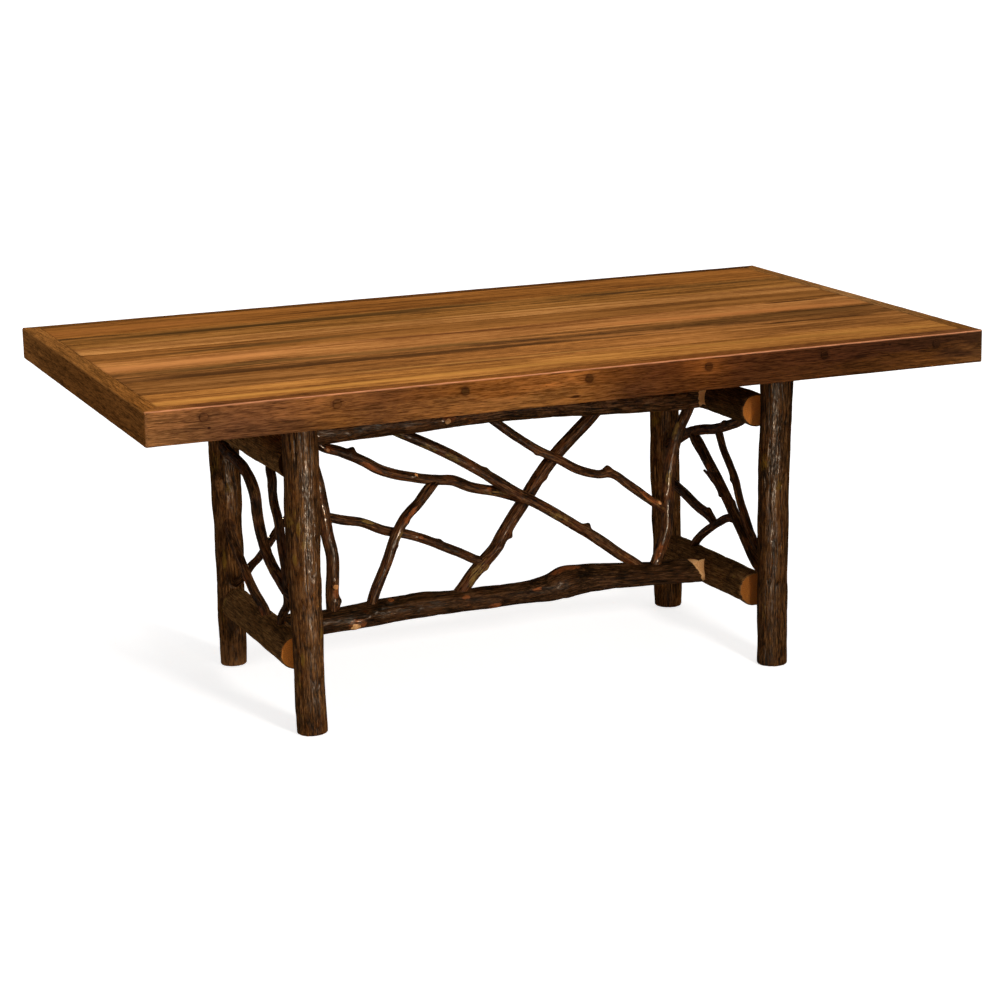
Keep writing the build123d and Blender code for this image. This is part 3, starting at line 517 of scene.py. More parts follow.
rails = {
    "stretcher": (
        (-0.536, 0, 0.150, 0.0260), (-0.500, 0, 0.150, 0.0270), (-0.350, 0, 0.152, 0.0270),
        (-0.208, 0, 0.160, 0.0275), (-0.056, 0, 0.1585, 0.0255), (0.087, 0, 0.1585, 0.0260),
        (0.130, 0, 0.162, 0.0300), (0.165, 0, 0.170, 0.0360), (0.205, 0, 0.172, 0.0330),
        (0.255, 0, 0.171, 0.0305), (0.385, 0, 0.164, 0.0275), (0.500, 0, 0.158, 0.0270),
        (0.543, 0, 0.156, 0.0260)),
    "long_rail_upper": (
        (-0.532, 0, 0.568, 0.0260), (-0.500, 0, 0.571, 0.0275), (-0.315, 0, 0.575, 0.0285),
        (-0.150, 0, 0.578, 0.0280), (0.120, 0, 0.580, 0.0275), (0.300, 0, 0.571, 0.0275),
        (0.500, 0, 0.565, 0.0275), (0.545, 0, 0.564, 0.0260)),
}
# Where each rail's pared flat starts: its place and the rail's radius there. Then how far round
# the rail it faces, in degrees up from the front, and how steeply it deepens.
PARED_START = {"stretcher": (0.486, 0, 0.159, 0.027), "long_rail_upper": (0.490, 0, 0.5655, 0.0275)}
PARED_TURN = {"stretcher": 35, "long_rail_upper": 0}
PARED_SLOPE = 27
# Points round a rail, and its first seed.
RAIL_RING = 128
RAIL_SEED = 30

# The bark's furrows, body, warm patches, ridges and lichen, and how light each rail's bark is
# painted. The upper rail's is painted about twice as light as the stretcher's: painted light
# against the shade under the top.
RAIL_BARK = ((12, 7, 3), (39, 24, 10), (54, 31, 13), (84, 56, 33), (128, 76, 34))
rail_painted_light = {"stretcher": 0.95, "long_rail_upper": 2.0}

# Knots: share of the length, turn round the rail, spread and height. A curved ridge swells from
# the big knot of the stretcher up to two smaller ones. Marks: kind, share, turn, and half the
# length and width. The last wood marks of the stretcher make the slanted edge of its flat.
rail_knots = {
    "stretcher": (
        (0.180, 0.586, 0.013, 0.005), (0.196, 0.540, 0.009, 0.004), (0.212, 0.480, 0.009, 0.004),
        (0.228, 0.420, 0.009, 0.004), (0.244, 0.367, 0.009, 0.004), (0.262, 0.328, 0.009, 0.005),
        (0.490, 0.594, 0.010, 0.003)),
    "long_rail_upper": ((0.387, 0.535, 0.008, 0.005), (0.180, 0.560, 0.007, 0.003)),
}
rail_marks = {
    "stretcher": (
        ("wood", 0.180, 0.586, 0.011, 0.008), ("inner", 0.185, 0.560, 0.022, 0.014),
        ("inner", 0.262, 0.328, 0.008, 0.006), ("inner", 0.421, 0.422, 0.010, 0.005),
        ("inner", 0.485, 0.598, 0.018, 0.008), ("inner", 0.579, 0.438, 0.012, 0.005),
        ("inner", 0.654, 0.289, 0.040, 0.012),
        *(("wood", 0.942 + 0.0044 * k, 0.29 + 0.055 * k, 0.011 - 0.001 * k, 0.013) for k in range(6))),
    "long_rail_upper": (
        ("wood", 0.387, 0.535, 0.007, 0.006), ("inner", 0.392, 0.500, 0.016, 0.012),
        ("wood", 0.956, 0.500, 0.008, 0.022)),
}


def pared(start, turn, slope):
    """The plane of a flat cut that starts on the front of a rail and deepens to the right. It is
    turned up round the rail by one angle and leans to the right by the other."""
    x, y, z, radius = start
    turn, slope = math.radians(turn), math.radians(slope)
    outward = np.array([0, -math.cos(turn), math.sin(turn)])
    normal = outward * math.cos(slope) + np.array([math.sin(slope), 0, 0])
    return np.array([x, y, z]) + outward * radius, normal


for index, (name, stations) in enumerate(rails.items()):
    cut = pared(PARED_START[name], PARED_TURN[name], PARED_SLOPE)
    rail = round_timber(
        name + "_log", stations, side=(0, 1, 0), columns=RAIL_RING, step=LOG_STEP, depth=0.0018,
        ridge_width=0.008, ridge_length=0.07, knots=rail_knots[name], marks=rail_marks[name],
        cuts=[cut], seed=RAIL_SEED + index)
    # Painted light: the rail's bark is scaled by its share.
    rail.data.materials.append(bark_material(
        name + "_bark", [scaled_colour(rail_painted_light[name], *colour) for colour in RAIL_BARK],
        inner=seen(138, 76, 38), wood=(seen(222, 168, 110), seen(186, 130, 78)), lichen_reach=0.68,
        thread=380, ridged=0.35, gloss=(0.18, 0.40), shine=0.0055, bump=0.0022))
    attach(rail, "root")
    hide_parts(name)

# ------------------------------------------------------------------ branches
# Natural hickory branches fill the frame along the middle and the frame at each end.
# Each is whittled to a small tenon at both ends and let into the timber it meets.

# The openings between the legs and between the long rails, from centre to centre.
OPENING_LEFT, OPENING_RIGHT = -0.532, 0.552
OPENING_FRONT, OPENING_BACK = -0.269, 0.275
OPENING_FOOT, OPENING_HEAD = 0.157, 0.573

# Each branch: the timbers at its two ends, the radius at both ends, and its points as
# shares of the opening across and up, with how far it stands off the frame's middle.
centre_branches = {
    "centre_branch_1": ("long_rail_upper", "stretcher", 0.0145, 0.0145, (
        (0.085, 1.00, 0), (0.113, 0.75, 0), (0.125, 0.575, 0), (0.132, 0.44, 0),
        (0.140, 0.33, 0), (0.140, 0.24, 0), (0.137, 0.15, 0), (0.138, -0.02, 0))),
    "centre_branch_2": ("long_rail_upper", "stretcher", 0.0130, 0.0140, (
        (0.941, 0.98, 0), (0.928, 0.905, 0), (0.911, 0.82, 0), (0.890, 0.635, 0),
        (0.882, 0.465, 0), (0.881, 0.35, 0), (0.878, 0.25, 0), (0.866, 0.165, 0),
        (0.854, 0.08, 0), (0.842, 0.015, 0))),
    "centre_branch_3": ("long_rail_upper", "stretcher", 0.0150, 0.0150, (
        (0.734, 1.00, 0), (0.709, 0.93, 1), (0.672, 0.835, 7), (0.635, 0.74, 12),
        (0.594, 0.615, 14), (0.562, 0.50, 14), (0.536, 0.415, 13), (0.513, 0.33, 13),
        (0.494, 0.255, 12), (0.469, 0.197, 10), (0.440, 0.13, 6), (0.417, 0.065, 1),
        (0.396, 0.00, 0))),
    "centre_branch_4": ("long_rail_upper", "centre_branch_3", 0.0113, 0.0117, (
        (0.108, 1.00, 0), (0.122, 0.935, 0), (0.168, 0.88, 2), (0.217, 0.812, 5),
        (0.244, 0.767, 6), (0.280, 0.728, 8), (0.313, 0.704, 9), (0.345, 0.683, 10),
        (0.377, 0.668, 11), (0.402, 0.659, 12), (0.446, 0.608, 13), (0.508, 0.565, 13),
        (0.565, 0.507, 14))),
    "centre_branch_5": ("long_rail_upper", "stretcher", 0.0119, 0.0125, (
        (0.253, 1.01, 0), (0.292, 0.95, -1), (0.353, 0.87, -4), (0.405, 0.793, -7),
        (0.446, 0.724, -10), (0.499, 0.63, -13), (0.542, 0.553, -14), (0.587, 0.483, -14),
        (0.632, 0.406, -12), (0.666, 0.346, -9), (0.700, 0.286, -7), (0.735, 0.219, -5),
        (0.770, 0.149, -2), (0.799, 0.094, 0), (0.836, 0.024, 0))),
    "centre_branch_6": ("long_rail_upper", "centre_branch_2", 0.0099, 0.0102, (
        (0.468, 1.01, 0), (0.493, 0.962, -1), (0.538, 0.87, -6), (0.590, 0.776, -11),
        (0.627, 0.724, -14), (0.678, 0.647, -12), (0.718, 0.613, -9), (0.747, 0.608, -8),
        (0.789, 0.534, -6), (0.842, 0.428, -3), (0.882, 0.358, 0))),
    "centre_branch_7": ("centre_branch_1", "centre_branch_3", 0.0103, 0.0105, (
        (0.126, 0.55, 0), (0.170, 0.514, 4), (0.203, 0.493, 8), (0.256, 0.43, 12),
        (0.301, 0.397, 12), (0.341, 0.356, 11), (0.374, 0.315, 10), (0.416, 0.26, 9),
        (0.451, 0.212, 9), (0.472, 0.185, 10))),
    "centre_branch_8": ("centre_branch_4", "stretcher", 0.0118, 0.0121, (
        (0.373, 0.67, 11), (0.358, 0.645, 6), (0.322, 0.555, -2), (0.298, 0.505, -7),
        (0.282, 0.452, -11), (0.271, 0.397, -11), (0.256, 0.291, -8), (0.240, 0.19, -5),
        (0.228, 0.115, -2), (0.213, 0.00, 0))),
}
left_branches = {
    "left_branch_1": ("leg_back_left", "leg_front_left", 0.0126, 0.0120, (
        (0.998, 0.87, -13), (0.903, 0.85, -15), (0.767, 0.828, -15), (0.631, 0.805, -15),
        (0.555, 0.767, -15), (0.494, 0.70, -15), (0.478, 0.62, -15), (0.447, 0.534, -15),
        (0.390, 0.454, -15), (0.305, 0.387, -15), (0.206, 0.344, -15), (0.097, 0.305, -15),
        (-0.017, 0.267, -12))),
    "left_branch_2": ("cross_log_upper_left", "left_branch_1", 0.0100, 0.0099, (
        (0.318, 0.97, -4), (0.307, 0.894, -10), (0.274, 0.841, -12), (0.274, 0.779, -12),
        (0.261, 0.721, -12), (0.228, 0.668, -12), (0.199, 0.594, -12), (0.182, 0.507, -12),
        (0.153, 0.423, -12), (0.127, 0.30, -14))),
    "left_branch_3": ("leg_back_left", "leg_front_left", 0.0088, 0.0084, (
        (0.998, 0.046, 8), (0.886, 0.132, 9), (0.746, 0.243, 9), (0.597, 0.349, 9),
        (0.480, 0.447, 9), (0.364, 0.55, 9), (0.224, 0.654, 9), (-0.017, 0.832, 8))),
    "left_branch_4": ("leg_back_left", "cross_log_lower_left", 0.0106, 0.0102, (
        (0.998, 0.466, -10), (0.903, 0.387, -11), (0.787, 0.291, -11), (0.684, 0.219, -11),
        (0.581, 0.154, -11), (0.467, 0.099, -9), (0.403, 0.00, -6))),
    "left_branch_5": ("left_branch_1", "cross_log_lower_left", 0.0094, 0.0094, (
        (0.127, 0.32, -14), (0.153, 0.252, -10), (0.261, 0.123, -6), (0.292, 0.00, -6))),
}
right_branches = {
    "right_branch_1": ("leg_back_right", "cross_log_upper_right", 0.0124, 0.0117, (
        (1.004, 0.555, -5), (0.871, 0.63, -7), (0.733, 0.712, -7), (0.616, 0.752, -7),
        (0.483, 0.791, -7), (0.373, 0.837, -7), (0.244, 0.904, -7), (0.154, 0.98, -7))),
    "right_branch_2": ("right_branch_1", "leg_front_right", 0.0126, 0.0123, (
        (0.719, 0.719, -7), (0.693, 0.692, -7), (0.608, 0.623, -7), (0.533, 0.558, -7),
        (0.458, 0.488, -7), (0.384, 0.418, -7), (0.320, 0.351, -7), (0.256, 0.286, -7),
        (0.193, 0.216, -7), (0.112, 0.135, -7), (0.017, 0.065, -3))),
    "right_branch_3": ("right_branch_1", "leg_front_right", 0.0091, 0.0089, (
        (0.476, 0.79, -7), (0.461, 0.767, -7), (0.419, 0.688, -7), (0.364, 0.62, -7),
        (0.311, 0.543, -7), (0.274, 0.45, -7), (0.219, 0.363, -7), (0.175, 0.293, -7),
        (0.112, 0.224, -7), (0.017, 0.137, -3))),
    "right_branch_4": ("right_branch_2", "cross_log_lower_right", 0.0096, 0.0099, (
        (0.296, 0.329, -7), (0.357, 0.325, -7), (0.469, 0.267, -7), (0.564, 0.202, -7),
        (0.642, 0.139, -7), (0.689, 0.089, -7), (0.737, -0.017, -7))),
    "right_branch_5": ("leg_back_right", "right_branch_4", 0.0112, 0.0109, (
        (1.004, 0.397, -5), (0.915, 0.375, -7), (0.805, 0.346, -7), (0.660, 0.30, -7),
        (0.562, 0.281, -7), (0.500, 0.252, -7))),
}
# Metres between a branch's rings. Its radius over the facet is how many points stand on a
# quarter of a ring. Then its first seed, and how thick its ends may be at most, as a share of
# the timber that holds them.
BRANCH_STEP = 0.0025
BRANCH_FACET = 0.0012
BRANCH_SEED = 40
END_TAPER = 0.78

# Knots and cut-off side shoots: share of the length, turn round the branch, spread and height.
branch_knots = {
    "centre_branch_1": (
        (0.814, 0.48, 0.007, 0.008), (0.901, 0.31, 0.010, 0.006), (0.34, 0.55, 0.008, 0.003)),
    "centre_branch_2": ((0.20, 0.4, 0.008, 0.003), (0.55, 0.7, 0.009, 0.003), (0.876, 0.54, 0.010, 0.004)),
    "centre_branch_3": (
        (0.655, 0.29, 0.008, 0.007), (0.713, 0.45, 0.008, 0.004), (0.38, 0.25, 0.008, 0.003),
        (0.812, 0.35, 0.008, 0.003)),
    "centre_branch_4": (
        (0.196, 0.25, 0.008, 0.009), (0.091, 0.525, 0.007, 0.003), (0.493, 0.40, 0.007, 0.004),
        (0.822, 0.45, 0.007, 0.003)),
    "centre_branch_5": ((0.733, 0.26, 0.008, 0.009), (0.35, 0.3, 0.008, 0.003), (0.50, 0.6, 0.007, 0.002)),
    "centre_branch_6": (
        (0.648, 0.25, 0.008, 0.009), (0.934, 0.417, 0.007, 0.004), (0.30, 0.7, 0.007, 0.003)),
    "centre_branch_7": ((0.584, 0.47, 0.006, 0.003), (0.70, 0.3, 0.007, 0.003)),
    "centre_branch_8": ((0.526, 0.18, 0.007, 0.005), (0.35, 0.4, 0.008, 0.003)),
    "left_branch_1": ((0.15, 0.5, 0.008, 0.003), (0.45, 0.3, 0.008, 0.004)),
    "left_branch_2": ((0.25, 0.4, 0.007, 0.003), (0.6, 0.6, 0.007, 0.003)),
    "left_branch_4": ((0.17, 0.28, 0.007, 0.003),),
    "right_branch_1": ((0.4, 0.5, 0.009, 0.005), (0.7, 0.3, 0.007, 0.003)),
    "right_branch_2": ((0.291, 0.33, 0.008, 0.006), (0.413, 0.70, 0.006, 0.006), (0.5, 0.2, 0.008, 0.004)),
    "right_branch_3": ((0.35, 0.6, 0.007, 0.003),),
    "right_branch_5": ((0.851, 0.26, 0.007, 0.007),),
}
# Pale cut wood, moss and stripped places: kind, share, turn, and half the length and width.
branch_marks = {
    "centre_branch_1": (("wood", 0.814, 0.48, 0.006, 0.005), ("inner", 0.85, 0.45, 0.014, 0.008)),
    "centre_branch_2": (
        ("moss", 0.20, 0.70, 0.022, 0.008), ("moss", 0.456, 0.58, 0.020, 0.008),
        ("inner", 0.87, 0.60, 0.024, 0.006)),
    "centre_branch_3": (("moss", 0.812, 0.354, 0.012, 0.006), ("moss", 0.90, 0.45, 0.012, 0.007)),
    "centre_branch_4": (
        ("wood", 0.091, 0.525, 0.004, 0.003), ("inner", 0.10, 0.50, 0.014, 0.008),
        ("wood", 0.493, 0.40, 0.004, 0.003), ("inner", 0.822, 0.45, 0.007, 0.005),
        ("inner", 0.30, 0.55, 0.030, 0.006)),
    "centre_branch_5": (
        ("moss", 0.056, 0.60, 0.020, 0.008), ("moss", 0.158, 0.60, 0.022, 0.008),
        ("moss", 0.238, 0.55, 0.020, 0.008), ("inner", 0.03, 0.50, 0.010, 0.008)),
    "centre_branch_6": (("wood", 0.934, 0.417, 0.005, 0.004), ("inner", 0.88, 0.45, 0.030, 0.008)),
    "centre_branch_7": (("inner", 0.584, 0.472, 0.006, 0.004), ("moss", 0.25, 0.40, 0.020, 0.005)),
    "centre_branch_8": (("inner", 0.30, 0.50, 0.030, 0.006), ("moss", 0.45, 0.40, 0.014, 0.005)),
    "left_branch_4": (("inner", 0.604, 0.528, 0.040, 0.004), ("inner", 0.87, 0.472, 0.025, 0.005)),
    "right_branch_2": (("inner", 0.26, 0.40, 0.010, 0.006),),
}

# The bark's furrows, body, warm patches, ridges and lichen.
BRANCH_BARK = ((15, 8, 4), (49, 29, 13), (80, 43, 19), (104, 70, 42), (124, 96, 48))
branch_bark = bark_material(
    "branch_bark", [seen(*colour) for colour in BRANCH_BARK], inner=seen(144, 78, 38),
    wood=(seen(214, 150, 92), seen(160, 94, 46)), lichen_reach=0.63, thread=300, ridged=0.20,
    gloss=(0.14, 0.32), shine=0.0085, bump=0.0012)

# Every timber's stations by its name, which the branches that end in it are fitted to.
timbers = {name: np.asarray(stations, float) for name, stations in {**legs, **cross_logs, **rails}.items()}


def nearest_on(stations, target):
    """The place and radius on a timber's centreline that is nearest to a point: the nearest
    foot of a perpendicular over all its straight runs."""
    start, step = stations[:-1], np.diff(stations, axis=0)
    share = np.einsum("ij,ij->i", target - start[:, :3], step[:, :3]) / (step[:, :3] ** 2).sum(axis=1)
    feet = start + step * np.clip(share, 0, 1)[:, None]
    return feet[np.linalg.norm(feet[:, :3] - target, axis=1).argmin()]


def branch_stations(shape, place):
    """A branch's points and radii. Its two ends lie on the centrelines of the timbers that
    hold it, and are thinner than those."""
    first_host, last_host, first_radius, last_radius, points = shape
    centres = place(*np.array(points).T)
    radii = np.linspace(first_radius, last_radius, len(points))
    for end, host in ((0, first_host), (-1, last_host)):
        *axis, host_radius = nearest_on(timbers[host], centres[end])
        centres[end] = axis
        radii[end] = min(radii[end], END_TAPER * host_radius)
    return np.column_stack([centres, radii])


def in_centre_frame(across, up, out):
    """Points of the lengthwise frame, from shares of its opening and millimetres off its middle."""
    x = OPENING_LEFT + (OPENING_RIGHT - OPENING_LEFT) * across
    return np.column_stack([x, out / 1000, OPENING_FOOT + (OPENING_HEAD - OPENING_FOOT) * up])


def in_end_frame(x):
    """The rule for points of an end frame, from shares of its opening, for its place along X."""
    def place(across, up, out):
        """Points of this end frame, as in the lengthwise one."""
        y = OPENING_FRONT + (OPENING_BACK - OPENING_FRONT) * across
        return np.column_stack([x + out / 1000, y, OPENING_FOOT + (OPENING_HEAD - OPENING_FOOT) * up])
    return place


seed = BRANCH_SEED
for branches, place, side in (
    (centre_branches, in_centre_frame, (0, 1, 0)),
    (left_branches, in_end_frame(OPENING_LEFT), (1, 0, 0)),
    (right_branches, in_end_frame(OPENING_RIGHT), (1, 0, 0)),
):
    for name, shape in branches.items():
        timbers[name] = branch_stations(shape, place)
        columns = 4 * round(timbers[name][:, 3].max() / BRANCH_FACET)
        branch = round_timber(
            name + "_bark", timbers[name], side, columns, step=BRANCH_STEP, depth=0.0009,
            ridge_width=0.006, ridge_length=0.04, rounding=0.003,
            knots=branch_knots.get(name, ()), marks=branch_marks.get(name, ()), seed=seed)
        branch.data.materials.append(branch_bark)
        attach(branch, "root")
        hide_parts(name)
        seed += 1

# A short side shoot was left on one branch of the right end.
shoot_points = (
    (0.545, -0.020, 0.349, 0.0052), (0.545, 0.016, 0.361, 0.0046),
    (0.545, 0.038, 0.3695, 0.0038), (0.545, 0.060, 0.376, 0.0032))
shoot = round_timber(
    "side_shoot", shoot_points, side=(1, 0, 0), columns=20, step=0.002, depth=0.0004,
    ridge_width=0.004, ridge_length=0.02, rounding=0.002, seed=seed)
shoot.data.materials.append(branch_bark)
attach(shoot, "root")

# ------------------------------------------------------------------ top planks
# Nine boards of old timber in mixed widths, each sawn and brushed, stained by age in its
# own colour and finished in satin lacquer. They lie inside the rim with tight seams.

# Metres between a plank's rings and between its points across, the rounding of its edges, the
# deepest wear and the first seed.
PLANK_STEP = 0.006
PLANK_FACET = 0.005
PLANK_EASE = 0.0012
PLANK_WEAR = 0.0006
PLANK_SEED = 70
# The worn hollows of a plank: the weight of each size, its width across and its length.
PLANK_HOLLOWS = ((0.6, 0.02, 0.25), (0.4, 0.006, 0.05))
# The share of its section that a board keeps at its last two rings at each end.
END_TUCK = (0.9, 0.995)
# How far a band's edges waver with the lanes of the grain, in its own half widths.
BAND_WAVER = 1.4

# Each plank's grain: light, middle and dark colour, how dark its streaks run, and how light it
# is at its left, its middle and its right.
plank_colours = {
    "plank_1": ((160, 100, 44), (134, 82, 34), (84, 48, 20), 0.45, (1.22, 1.30, 1.30)),
    "plank_2": ((146, 94, 44), (116, 74, 31), (62, 40, 20), 0.60, (1.46, 1.66, 1.60)),
    "plank_3": ((176, 118, 58), (146, 94, 42), (92, 56, 24), 0.45, (1.06, 1.12, 1.10)),
    "plank_4": ((192, 132, 72), (160, 105, 52), (112, 68, 32), 0.35, (1.28, 1.18, 1.15)),
    "plank_5": ((160, 104, 50), (134, 84, 38), (84, 50, 22), 0.50, (1.45, 1.14, 1.02)),
    "plank_6": ((196, 132, 70), (166, 106, 54), (116, 68, 30), 0.35, (1.22, 1.04, 1.02)),
    "plank_7": ((146, 94, 48), (112, 70, 32), (52, 32, 17), 0.65, (1.66, 2.00, 1.20)),
    "plank_8": ((176, 116, 60), (146, 92, 43), (88, 52, 24), 0.50, (0.88, 1.54, 0.94)),
    "plank_9": ((196, 132, 64), (164, 105, 48), (108, 64, 28), 0.42, (1.25, 1.08, 0.94)),
}

# Bands that stand out in a plank: both ends of the band's middle line in X and Y, half its
# width, its colour and how strongly it shows.
plank_bands = {
    "plank_1": (((-0.98, 0.395), (-0.40, 0.420), 0.040, (190, 116, 56), 0.32),),
    "plank_2": (((-0.86, 0.283), (0.25, 0.325), 0.024, (86, 58, 27), 0.88),),
    "plank_4": (((-0.55, 0.190), (0.50, 0.186), 0.007, (196, 138, 70), 0.60),),
    "plank_5": (((-0.75, 0.040), (-0.25, 0.078), 0.020, (108, 76, 38), 0.55),),
    "plank_6": (
        ((-1.05, -0.082), (-0.40, -0.045), 0.034, (222, 145, 80), 0.78),
        ((-0.35, 0.000), (0.15, -0.020), 0.009, (104, 56, 28), 0.70),
        ((0.15, -0.078), (0.90, -0.086), 0.024, (196, 122, 64), 0.60),
        ((0.66, 0.000), (0.83, 0.002), 0.012, (62, 34, 15), 0.85)),
    "plank_7": (
        ((-1.00, -0.212), (0.30, -0.220), 0.024, (80, 49, 24), 0.86),
        ((0.20, -0.160), (0.95, -0.150), 0.034, (84, 55, 24), 0.60),
        ((-0.90, -0.148), (0.10, -0.142), 0.024, (112, 80, 40), 0.50)),
    "plank_8": (
        ((-0.55, -0.342), (0.25, -0.345), 0.008, (200, 138, 68), 0.70),
        ((0.50, -0.242), (0.84, -0.240), 0.018, (66, 38, 17), 0.85)),
    "plank_9": (
        ((-1.00, -0.474), (0.20, -0.430), 0.018, (208, 142, 66), 0.60),
        ((0.10, -0.400), (0.95, -0.440), 0.020, (176, 120, 54), 0.45)),
}


def board_grid(low, high, ease, step, across, wear, rng):
    """A board's surface as a grid: rows along X, columns round its section.

    The section is a rectangle whose four corners are quarter circles of the radius `ease`,
    walked anticlockwise as seen from +X. The top and the underside sink by up to `wear`, by a
    smooth noise that is stretched along the grain. The sides, where boards touch, stay flat.
    """
    (x0, y0, z0), (x1, y1, z1) = low, high
    arc = np.radians(np.array([0, 30, 60, 90]))
    corners = ((y1 - ease, z1 - ease, 0), (y0 + ease, z1 - ease, 90),
               (y0 + ease, z0 + ease, 180), (y1 - ease, z0 + ease, 270))
    loop, normals = [], []
    for index, (y, z, turn) in enumerate(corners):
        way = np.stack([np.cos(arc + math.radians(turn)), np.sin(arc + math.radians(turn))], axis=1)
        loop.append(np.array([y, z]) + ease * way)
        normals.append(way)
        y_next, z_next, turn_next = corners[(index + 1) % 4]
        ahead = math.radians(turn_next)
        start = loop[-1][-1]
        end = np.array([y_next, z_next]) + ease * np.array([math.cos(ahead), math.sin(ahead)])
        fill = np.linspace(0, 1, across if index in (0, 2) else 4)[1:-1, None]
        loop.append(start + (end - start) * fill)
        normals.append(np.repeat(way[-1:], len(fill), axis=0))
    loop, normals = np.concatenate(loop), np.concatenate(normals)
    x = np.linspace(x0, x1, int((x1 - x0) / step) + 2)
    x = np.concatenate([[x0, x0], x, [x1, x1]])
    tuck = np.ones(len(x))
    tuck[:2] = END_TUCK
    tuck[-2:] = END_TUCK[::-1]
    walk = np.concatenate([[0], np.cumsum(np.linalg.norm(np.diff(loop, axis=0), axis=1))])
    walk = walk / (walk[-1] + np.linalg.norm(loop[0] - loop[-1]))
    share = ((x - x0) / (x1 - x0))[:, None]
    girth = 2 * (y1 - y0 + z1 - z0)
    dip = 0.0
    for weight, wide, long in PLANK_HOLLOWS:
        around, along = max(int(girth / wide), 4), int((x1 - x0) / long) + 2
        dip = dip + weight * cell_noise(rng, around, along, walk[None], share)
    middle = loop.mean(axis=0)
    sunk = normals * np.abs(normals[:, 1:])
    section = (loop - middle)[None] * tuck[:, None, None] + middle - sunk[None] * (wear * dip)[..., None]
    return np.concatenate([np.broadcast_to(x[:, None, None], section.shape[:2] + (1,)), section], axis=2)


def board_noise(tree, place, along, across, detail=4, roughness=0.65, distortion=0.0):
    """Noise drawn out along a board: so many features a metre along it, and so many across."""
    return noise(tree, stretched(tree, place, (along, across, across)), 1.0, detail, roughness, distortion)


def old_board(name, light, middle, dark, streaks, shades, shift, own_bands=()):
    """Old oak under satin lacquer. Its colour comes from long bands, growth rings drawn out
    along the grain, fine streaks and dark pores, all on the table's own coordinates. Its own
    bands fade in and out along their length, and waver a little across it."""
    material, tree, shader = new_finish(name)
    table = node(tree, "TexCoord").outputs["Object"]
    parts = node(tree, "SeparateXYZ", {0: table})
    place = stretched(tree, table, (1, 1, 1), shift)
    bands = board_noise(tree, place, 1.8, 24, 3, 0.6, 0.4)
    lanes = board_noise(tree, place, 4, 95, distortion=0.5)
    flecks = board_noise(tree, place, 38, 210, 4, 0.7, 0.3)
    fibres = board_noise(tree, place, 14, 560)
    tone = weighed(tree, (bands, 1.1), (lanes, 0.8), (flecks, 0.8), (fibres, 0.5), less=1.1)
    colour = ramp(tree, tone, [(0.24, dark), (0.5, middle), (0.74, light)])
    vein = ramp(tree, lanes, [(0.34, 1.0), (0.46, 0.0)])
    colour = mixed(tree, math_node(tree, "MULTIPLY", vein, streaks), colour, dark)
    lines = board_noise(tree, place, 3, 80, 3, 0.6, 0.3)
    colour = tinted(tree, colour, crease(tree, lines, 0.035, 0.76, 1.0))

    # The ramp holds half of each shade, so that it stays within 0 to about 1.
    left, centre, right = shades
    along = math_node(tree, "ADD", math_node(tree, "MULTIPLY", parts.outputs[0], 0.5), 0.5)
    shade = ramp(tree, along, [(0.16, left / 2), (0.5, centre / 2), (0.84, right / 2)])
    colour = tinted(tree, colour, math_node(tree, "MULTIPLY", shade, 2.0))
    for (x0, y0), (x1, y1), half_width, hue, strength in own_bands:
        reach = node(tree, "MapRange", {0: parts.outputs[0], 1: x0, 2: x1}).outputs[0]
        middle_line = math_node(tree, "ADD", math_node(tree, "MULTIPLY", reach, y1 - y0), y0)
        aside = math_node(tree, "SUBTRACT", parts.outputs[1], middle_line)
        waver = math_node(tree, "MULTIPLY", math_node(tree, "SUBTRACT", lanes, 0.5), BAND_WAVER)
        aside = math_node(tree, "ABSOLUTE", math_node(tree, "DIVIDE", aside, half_width), 0.0)
        aside = math_node(tree, "ADD", aside, waver)
        fade = ramp(tree, reach, [(0.0, 0.0), (0.2, strength), (0.8, strength), (1.0, 0.0)])
        there = math_node(tree, "MULTIPLY", fade, ramp(tree, aside, [(0.45, 1.0), (0.98, 0.0)]))
        grain = ramp(tree, tone, [(0.24, 0.72), (0.74, 1.0)])
        colour = mixed(tree, there, colour, tinted(tree, seen(*hue), grain))
    tree.links.new(colour, shader.inputs["Base Color"])
    tree.links.new(ramp(tree, fibres, [(0.3, 0.60), (0.7, 0.45)]), shader.inputs["Roughness"])
    shader.inputs["Specular IOR Level"].default_value = 0.0
    cross = board_noise(tree, place, 160, 34, 3, 0.55)
    give_relief(tree, shader, weighed(tree, (fibres, 0.7), (cross, 0.3)), depth=0.0006)
    return material


for index, (name, (light, middle, dark, streaks, shades)) in enumerate(plank_colours.items()):
    low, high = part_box(name)
    rng = np.random.default_rng(PLANK_SEED + index)
    across = max(int((high[1] - low[1]) / PLANK_FACET), 6)
    grid = board_grid(low, high, PLANK_EASE, PLANK_STEP, across, PLANK_WEAR, rng)
    plank = closed_mesh(name + "_board", grid, {})
    plank.data.materials.append(old_board(
        name + "_oak", seen(*light), seen(*middle), seen(*dark), streaks, shades,
        (0.37 * index, 0.61 * index, 0.2 * index), plank_bands.get(name, ())))
    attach(plank, "root")
    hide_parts(name)

# ------------------------------------------------------------------ rim
# Four boards of weathered barn timber stand on edge round the planks and meet in mitres.
# Their corners are worn round, and their rough faces are left as they came.

# Metres between a board's rings, the rounding of the table's upright corners and of a board's
# long edges, and the deepest wear, which dies out towards the mitres by a high power.
RIM_STEP = 0.005
RIM_CORNER = 0.009
RIM_EDGE = 0.004
RIM_WEAR = 0.0007
WEAR_POWER = 80
# How wide the lightened line along the front edge runs, which is wear and a painted highlight,
# and how much wider and weaker it is on the upright corner. The last ring before a mitre stands
# at this share of half the length.
WEAR_AND_SHEEN_WIDTH = 0.0014
UPRIGHT_SPREAD = 1.4
UPRIGHT_WEAR_AND_SHEEN = 0.6
LAST_RING = 0.9997
